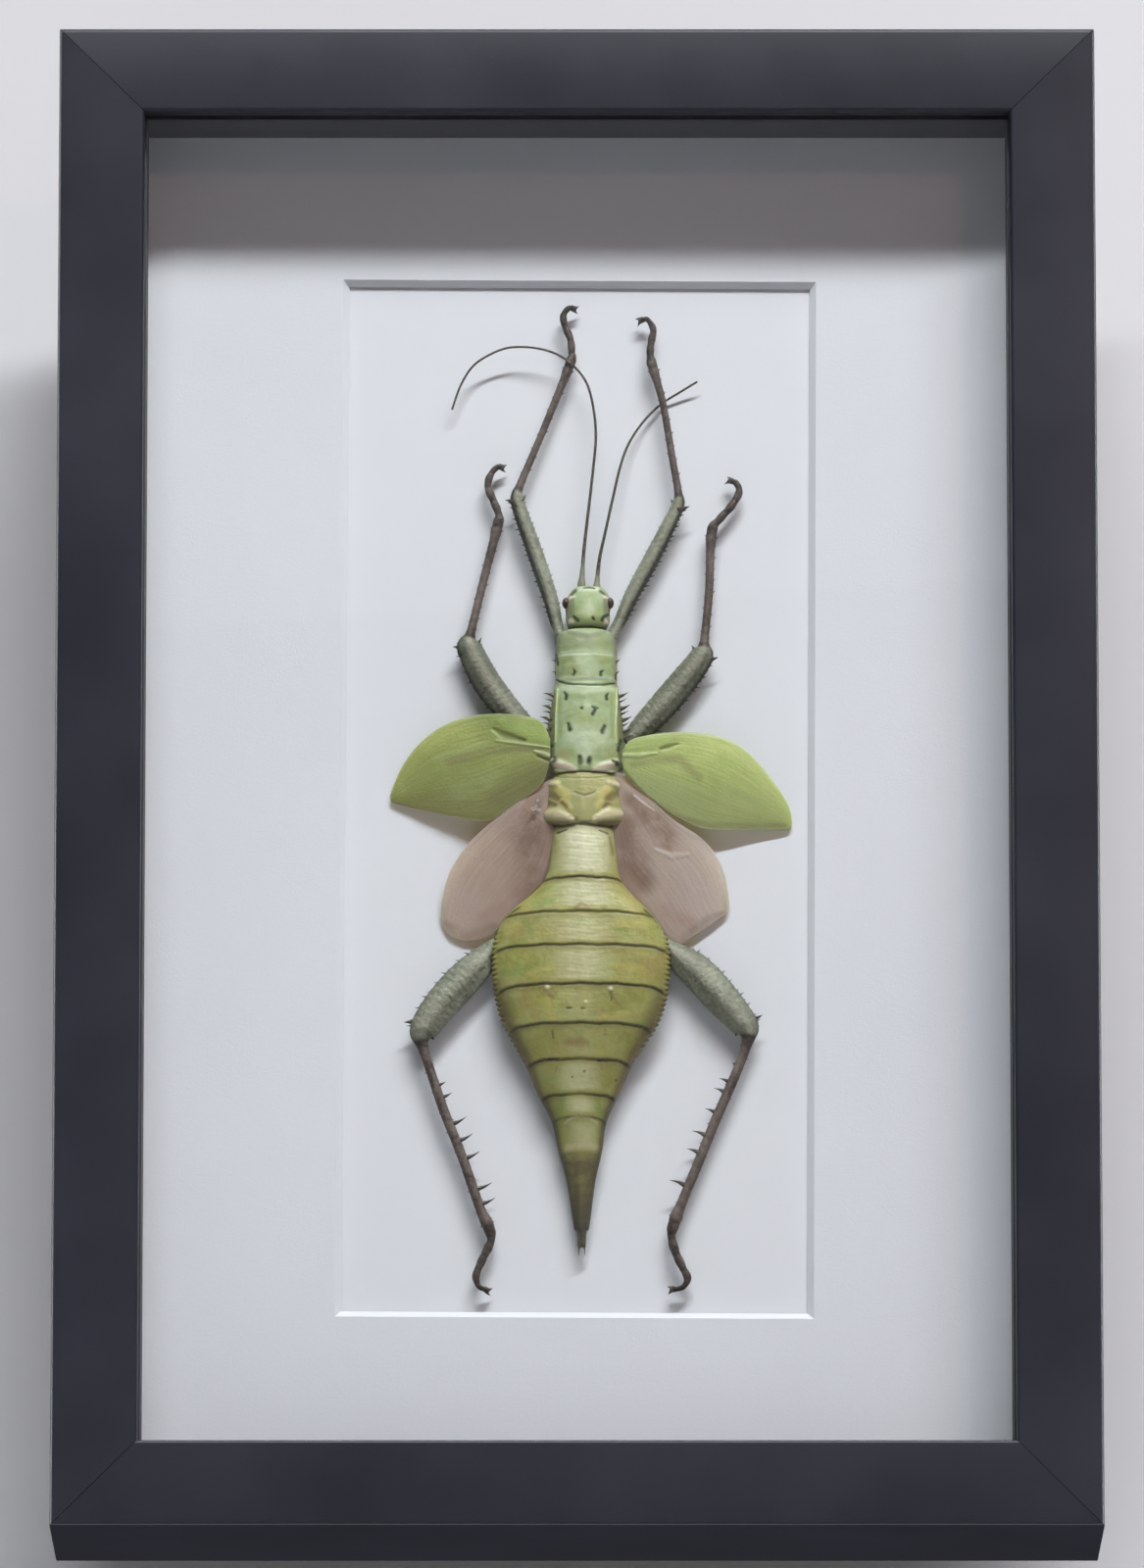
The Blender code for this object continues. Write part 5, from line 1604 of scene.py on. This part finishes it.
# Colour marks by wing and kind, each a tapering line of (x, z, half width)
WING_MARKS = {
    "forewing_left": {
        "bright": [
            [(-16.6, 183.0, 0.9), (-12.4, 181.4, 1.6), (-8.6, 180.0, 2.0), (-6.2, 179.4, 1.8)],
        ],
        "fold": [[(-18.6, 181.6, 0.3), (-16.0, 180.0, 0.8), (-11.6, 178.8, 0.35)],
                 [(-8.7, 175.2, 0.25), (-6.9, 174.4, 0.3), (-5.0, 174.1, 0.35)]],
        "vein": [[(-18.0, 178.9, 0.14), (-13.0, 178.1, 0.2), (-6.0, 177.0, 0.2)],
                 [(-9.4, 176.3, 0.2), (-7.3, 175.6, 0.42), (-5.4, 174.9, 0.42)]],
        "grey": [[(-6.6, 172.4, 2.0), (-12.6, 169.4, 2.6), (-18.0, 165.6, 2.0)],
                 [(-8.0, 177.0, 0.6), (-19.0, 176.6, 1.0), (-28.0, 174.6, 1.2)]],
        "blush": [[(-20.1, 178.5, 0.6), (-26.2, 176.4, 0.7), (-31.7, 175.2, 0.8)],
                  [(-18.0, 170.6, 2.0), (-26.0, 168.0, 2.2)]],
    },
    "forewing_right": {
        "bright": [[(11.4, 177.0, 0.9), (15.4, 178.4, 1.4), (19.5, 179.2, 1.2)]],
        "fold": [[(18.4, 176.9, 0.25), (20.4, 177.5, 0.5), (22.4, 178.1, 0.2)],
                 [(10.2, 171.6, 0.45), (12.6, 168.2, 0.6), (15.3, 166.0, 0.45),
                  (18.9, 163.7, 0.3)]],
        "vein": [[(10.4, 175.3, 0.45), (13.7, 175.3, 0.5), (17.6, 175.9, 0.2)]],
        "grey": [[(12.4, 173.4, 0.7), (16.7, 174.2, 0.9), (22.6, 174.8, 1.1), (27.0, 170.6, 0.9)],
                 [(22.0, 161.6, 0.8), (30.0, 160.4, 0.6), (46.0, 160.8, 0.5)]],
        "blush": [[(12.6, 170.4, 1.4), (18.0, 168.4, 2.6), (26.0, 166.0, 2.4)],
                  [(34.0, 168.0, 0.8), (42.0, 165.0, 0.9)]],
    },
    "hindwing_left": {
        "bright": [[(-29.7, 146.0, 0.5), (-29.9, 140.4, 0.7)]],
        "fold": [[(-9.6, 164.0, 2.0), (-10.4, 157.4, 5.0), (-9.6, 151.0, 4.2),
                  (-12.0, 146.0, 2.4)]],
        "vein": [[(-10.0, 163.6, 0.25), (-8.4, 163.2, 0.3)]],
        # Painted shade: along the lower margin, and at the root under the forewing
        "grey": [[(-29.4, 138.6, 1.0), (-24.4, 135.4, 1.3), (-18.4, 137.6, 1.0)],
                 [(-5.6, 168.0, 1.8), (-10.0, 165.0, 1.4)]],
        "blush": [[(-6.2, 154.4, 0.5), (-7.4, 150.0, 0.6), (-11.2, 145.6, 0.5)],
                  [(-17.0, 141.8, 1.2), (-21.0, 139.6, 1.4)]],
    },
    "hindwing_right": {
        "bright": [[(32.0, 152.0, 0.3), (33.0, 147.0, 0.5), (33.3, 142.4, 0.7)]],
        "fold": [[(12.0, 165.4, 1.8), (17.0, 160.6, 3.0), (20.6, 156.4, 2.6)],
                 [(10.6, 160.0, 3.2), (11.4, 153.0, 4.2), (14.6, 147.6, 2.4)]],
        "vein": [[(12.6, 166.6, 0.2), (15.0, 164.6, 0.3), (17.0, 163.2, 0.2)],
                 [(17.4, 154.6, 0.3), (20.8, 153.2, 0.6), (24.6, 153.6, 0.3)]],
        # Painted shade: along the lower margin, and at the root under the forewing
        "grey": [[(24.0, 135.4, 1.0), (29.0, 139.4, 0.9), (32.6, 141.0, 0.5)],
                 [(8.6, 169.0, 1.6), (11.6, 165.6, 1.4)]],
        "blush": [[(8.6, 154.0, 0.6), (9.4, 149.8, 0.6), (11.4, 146.4, 0.5), (14.0, 143.0, 0.4)],
                  [(20.0, 141.0, 1.4), (25.0, 138.6, 1.4)]],
    },
}
WING_HALF_THICKNESS = 0.14
WING_CLEARANCE = 0.1
WING_EDGE_STEP = 0.1
WING_ROWS, WING_ACROSS = 190, 90
VEINS = 11
PLEATS = 15
SHADOW_TINT = (0.34, 0.27, 0.04)


def wing_grid(shape, rows, across, shaping):
    """A wing between its leading and trailing edges.

    A row joins the points at equal shares of both edges. Its height falls evenly with the
    distance along the line from root to tip, and shaping adds camber, veins and pleats. The
    upper and the under side lie a half thickness off, and meet round the edge.
    """
    edges = []
    for key in ("lead", "trail"):
        run = even_run(shape[key], WING_EDGE_STEP)
        share = np.linspace(0, len(run) - 1, rows)
        edges.append(np.stack([np.interp(share, np.arange(len(run)), c) for c in run.T], 1))
    u = np.linspace(0, 1, rows)[:, None]
    v = np.linspace(0, 1, across)[None, :]
    flat = edges[0][:, None] * (1 - v[..., None]) + edges[1][:, None] * v[..., None]
    x, z = flat[..., 0], flat[..., 1]
    root, tip = np.array(shape["root"]), np.array(shape["tip"])
    span = tip[:2] - root[:2]
    fall = ((x - root[0]) * span[0] + (z - root[1]) * span[1]) / (span @ span)
    height = root[2] + (tip[2] - root[2]) * np.maximum(fall, 0)
    u, v = np.broadcast_arrays(u, v)
    lift, values = shaping(u, v, x, z)
    rim = np.minimum(np.minimum(v, 1 - v) * 14, 1) * np.minimum(np.minimum(u, 1 - u) * 24 + 0.2, 1)
    half = WING_HALF_THICKNESS * np.sqrt(rim)
    upper = on_board(x, z, height + lift + half)
    under = on_board(x, z, np.maximum(height + lift - half, WING_CLEARANCE))
    ring = np.concatenate([upper, under[:, ::-1]], 1)
    doubled = {key: np.concatenate([grid, grid[:, ::-1]], 1) for key, grid in values.items()}
    return ring, doubled


def forewing_shape(marks):
    """Camber as a low arch, fine ridged veins that fan out from the root, and folds near it."""

    def shaping(u, v, x, z):
        """Lift in millimetres, and the values to carry."""
        arch = 0.9 * np.sin(math.pi * np.clip(v, 0, 1)) * np.sin(math.pi * u) ** 0.7
        vein = np.cos((v + 0.07 * np.sin(u * 5) + 0.02 * np.sin(u * 17)) * 2 * math.pi * VEINS) ** 6
        vein = vein * (0.5 + 0.5 * np.sin(v * 21 + u * 4))
        masks = marked(x, z, 1.0, marks)
        folds = 0.25 * masks["vein"] - 0.35 * masks["fold"] + 0.15 * masks["bright"]
        return arch + 0.02 * vein + folds, masks | {"span": u, "chord": v, "ray": vein}

    return shaping


def hindwing_shape(marks):
    """A shallow arch with pleats that fan out from the root."""

    def shaping(u, v, x, z):
        """Lift in millimetres, and the values to carry."""
        arch = 0.6 * np.sin(math.pi * v) * np.sin(math.pi * u)
        pleat = np.cos((v + 0.05 * np.sin(u * 6)) * 2 * math.pi * PLEATS) * np.sin(v * 17 + u * 3)
        masks = marked(x, z, 1.0, marks)
        masks["fold"] = strokes(x, z, marks["fold"], 0.99)
        lift = arch + 0.02 * pleat * np.sin(math.pi * u) + 0.15 * masks["vein"]
        lift = lift - 0.05 * masks["fold"]
        return lift, masks | {"span": u, "chord": v, "ray": 0.5 + 0.5 * pleat}

    return shaping


def wing_skin(name, tones, layers, roughness):
    """Dry wing membrane that glows a little when lit from behind.

    Streaks follow the veins: noise read in the wing's own share along and across, stretched along
    the veins. The tones are dark, light, towards the tip and towards the rear edge, and layers
    lay colours on by the mesh's masks.
    """
    finish = Finish(
        name,
        Specular_IOR_Level=0.3,
        Roughness=roughness,
        Subsurface_Weight=0.7,
        Subsurface_Radius=(1.0, 0.9, 0.6),
        Subsurface_Scale=0.002,
    )
    dark, light, outer, rear = tones
    own = finish.node(
        "CombineXYZ",
        X=finish.times(finish.carried("span"), 2.6),
        Y=finish.times(finish.carried("chord"), 30.0),
    ).outputs["Vector"]
    streak = finish.noise(1.0, 4.0, 0.65, own)
    cloud = finish.noise(110.0, 4.0, 0.65)
    mix = finish.plus(finish.times(streak, 0.6), finish.times(cloud, 0.4))
    colour = finish.blend(finish.spread(mix, 0.38, 0.62), dark, light)
    far = finish.spread(finish.carried("span"), 0.15, 0.8, 0.0, 0.55)
    colour = finish.blend(far, colour, outer)
    behind = finish.spread(finish.carried("chord"), 0.5, 1.0, 0.0, 0.5)
    colour = finish.blend(behind, colour, rear)
    broken = finish.spread(cloud, 0.4, 0.58, 0.4, 1.2)
    colour = finish.lay(colour, layers, broken)
    grain = finish.group(speckle, Fine=4200.0, Broad=1500.0)
    height = finish.plus(finish.times(streak, 0.8), grain["Mottle"])
    finish.wear(Base_Color=colour, Normal=finish.relief(height, 0.00014, 0.6))
    # Lamps shine a little through the membrane, so that its shadow is tinted and not black
    return finish.let_through(SHADOW_TINT, "Is Shadow Ray")


GREEN_LAYERS = [
    ("ray", 0.12, (0.44, 0.49, 0.20)),
    ("blush", 0.45, (0.36, 0.44, 0.20)),
    ("grey", 0.5, (0.21, 0.20, 0.10)),
    ("bright", 0.6, (0.37, 0.52, 0.15)),
    ("fold", 0.62, (0.11, 0.135, 0.05)),
    ("vein", 0.6, (0.62, 0.66, 0.38)),
]
PINK_LAYERS = [
    ("ray", 0.06, (0.40, 0.32, 0.29)),
    ("blush", 0.5, (0.46, 0.29, 0.25)),
    # On the hindwings the grey is partly painted shade along the margins and under the forewings
    ("grey", 0.5, (0.27, 0.22, 0.18)),
    ("bright", 0.5, (0.36, 0.40, 0.24)),
    ("fold", 0.75, (0.25, 0.165, 0.13)),
    ("vein", 0.6, (0.78, 0.69, 0.60)),
]
WING_FINISHES = {
    "forewing_left": wing_skin(
        "green_wing_left",
        [(0.22, 0.295, 0.075), (0.42, 0.47, 0.165), (0.29, 0.32, 0.115), (0.19, 0.16, 0.09)],
        GREEN_LAYERS,
        0.55,
    ),
    "forewing_right": wing_skin(
        "green_wing_right",
        [(0.28, 0.38, 0.105), (0.53, 0.62, 0.25), (0.42, 0.49, 0.19), (0.38, 0.44, 0.22)],
        GREEN_LAYERS,
        0.55,
    ),
    "hindwing_left": wing_skin(
        "pink_wing_left",
        [(0.41, 0.285, 0.225), (0.60, 0.45, 0.375), (0.68, 0.53, 0.45), (0.44, 0.30, 0.245)],
        PINK_LAYERS,
        0.65,
    ),
    "hindwing_right": wing_skin(
        "pink_wing_right",
        [(0.44, 0.33, 0.27), (0.66, 0.52, 0.44), (0.71, 0.58, 0.50), (0.48, 0.34, 0.28)],
        PINK_LAYERS,
        0.65,
    ),
}
for name, shape in WINGS.items():
    fore = name.startswith("fore")
    shaping = (forewing_shape if fore else hindwing_shape)(WING_MARKS[name])
    points, values = wing_grid(shape, WING_ROWS, WING_ACROSS, shaping)
    slot = "green_wings" if fore else "pink_wings"
    add_shell(f"{name}_blade", points, values, WING_FINISHES[name], slot, name)


# Glue
# Small clear beads of dried glue at the wing roots and the feet, which catch the light.
# Each bead as (x, z, height, radius)
GLUE_BEADS = [
    (-8.7, 165.2, 7.2, 0.36), (-9.6, 163.2, 7.0, 0.42), (-8.9, 163.9, 7.0, 0.3),
    (12.0, 180.6, 4.4, 0.5), (21.6, 69.6, 2.6, 0.5),
]


def dried_glue():
    """Clear amber-white glue, glossy and faintly pitted."""
    finish = Finish(
        "dried_glue",
        Base_Color=(0.93, 0.92, 0.86, 1.0),
        IOR=1.48,
        Transmission_Weight=0.75,
        Roughness=0.08,
    )
    return finish.wear(Normal=finish.relief(finish.noise(900.0, 2.0), 0.00006, 0.4))


beads = [
    bead((x, z, height), (radius, radius * 0.9, radius * 0.8), 10, 14)
    for x, z, height, radius in GLUE_BEADS
]
add_piece("glue_beads", *joined_shells(beads), dried_glue(), None)
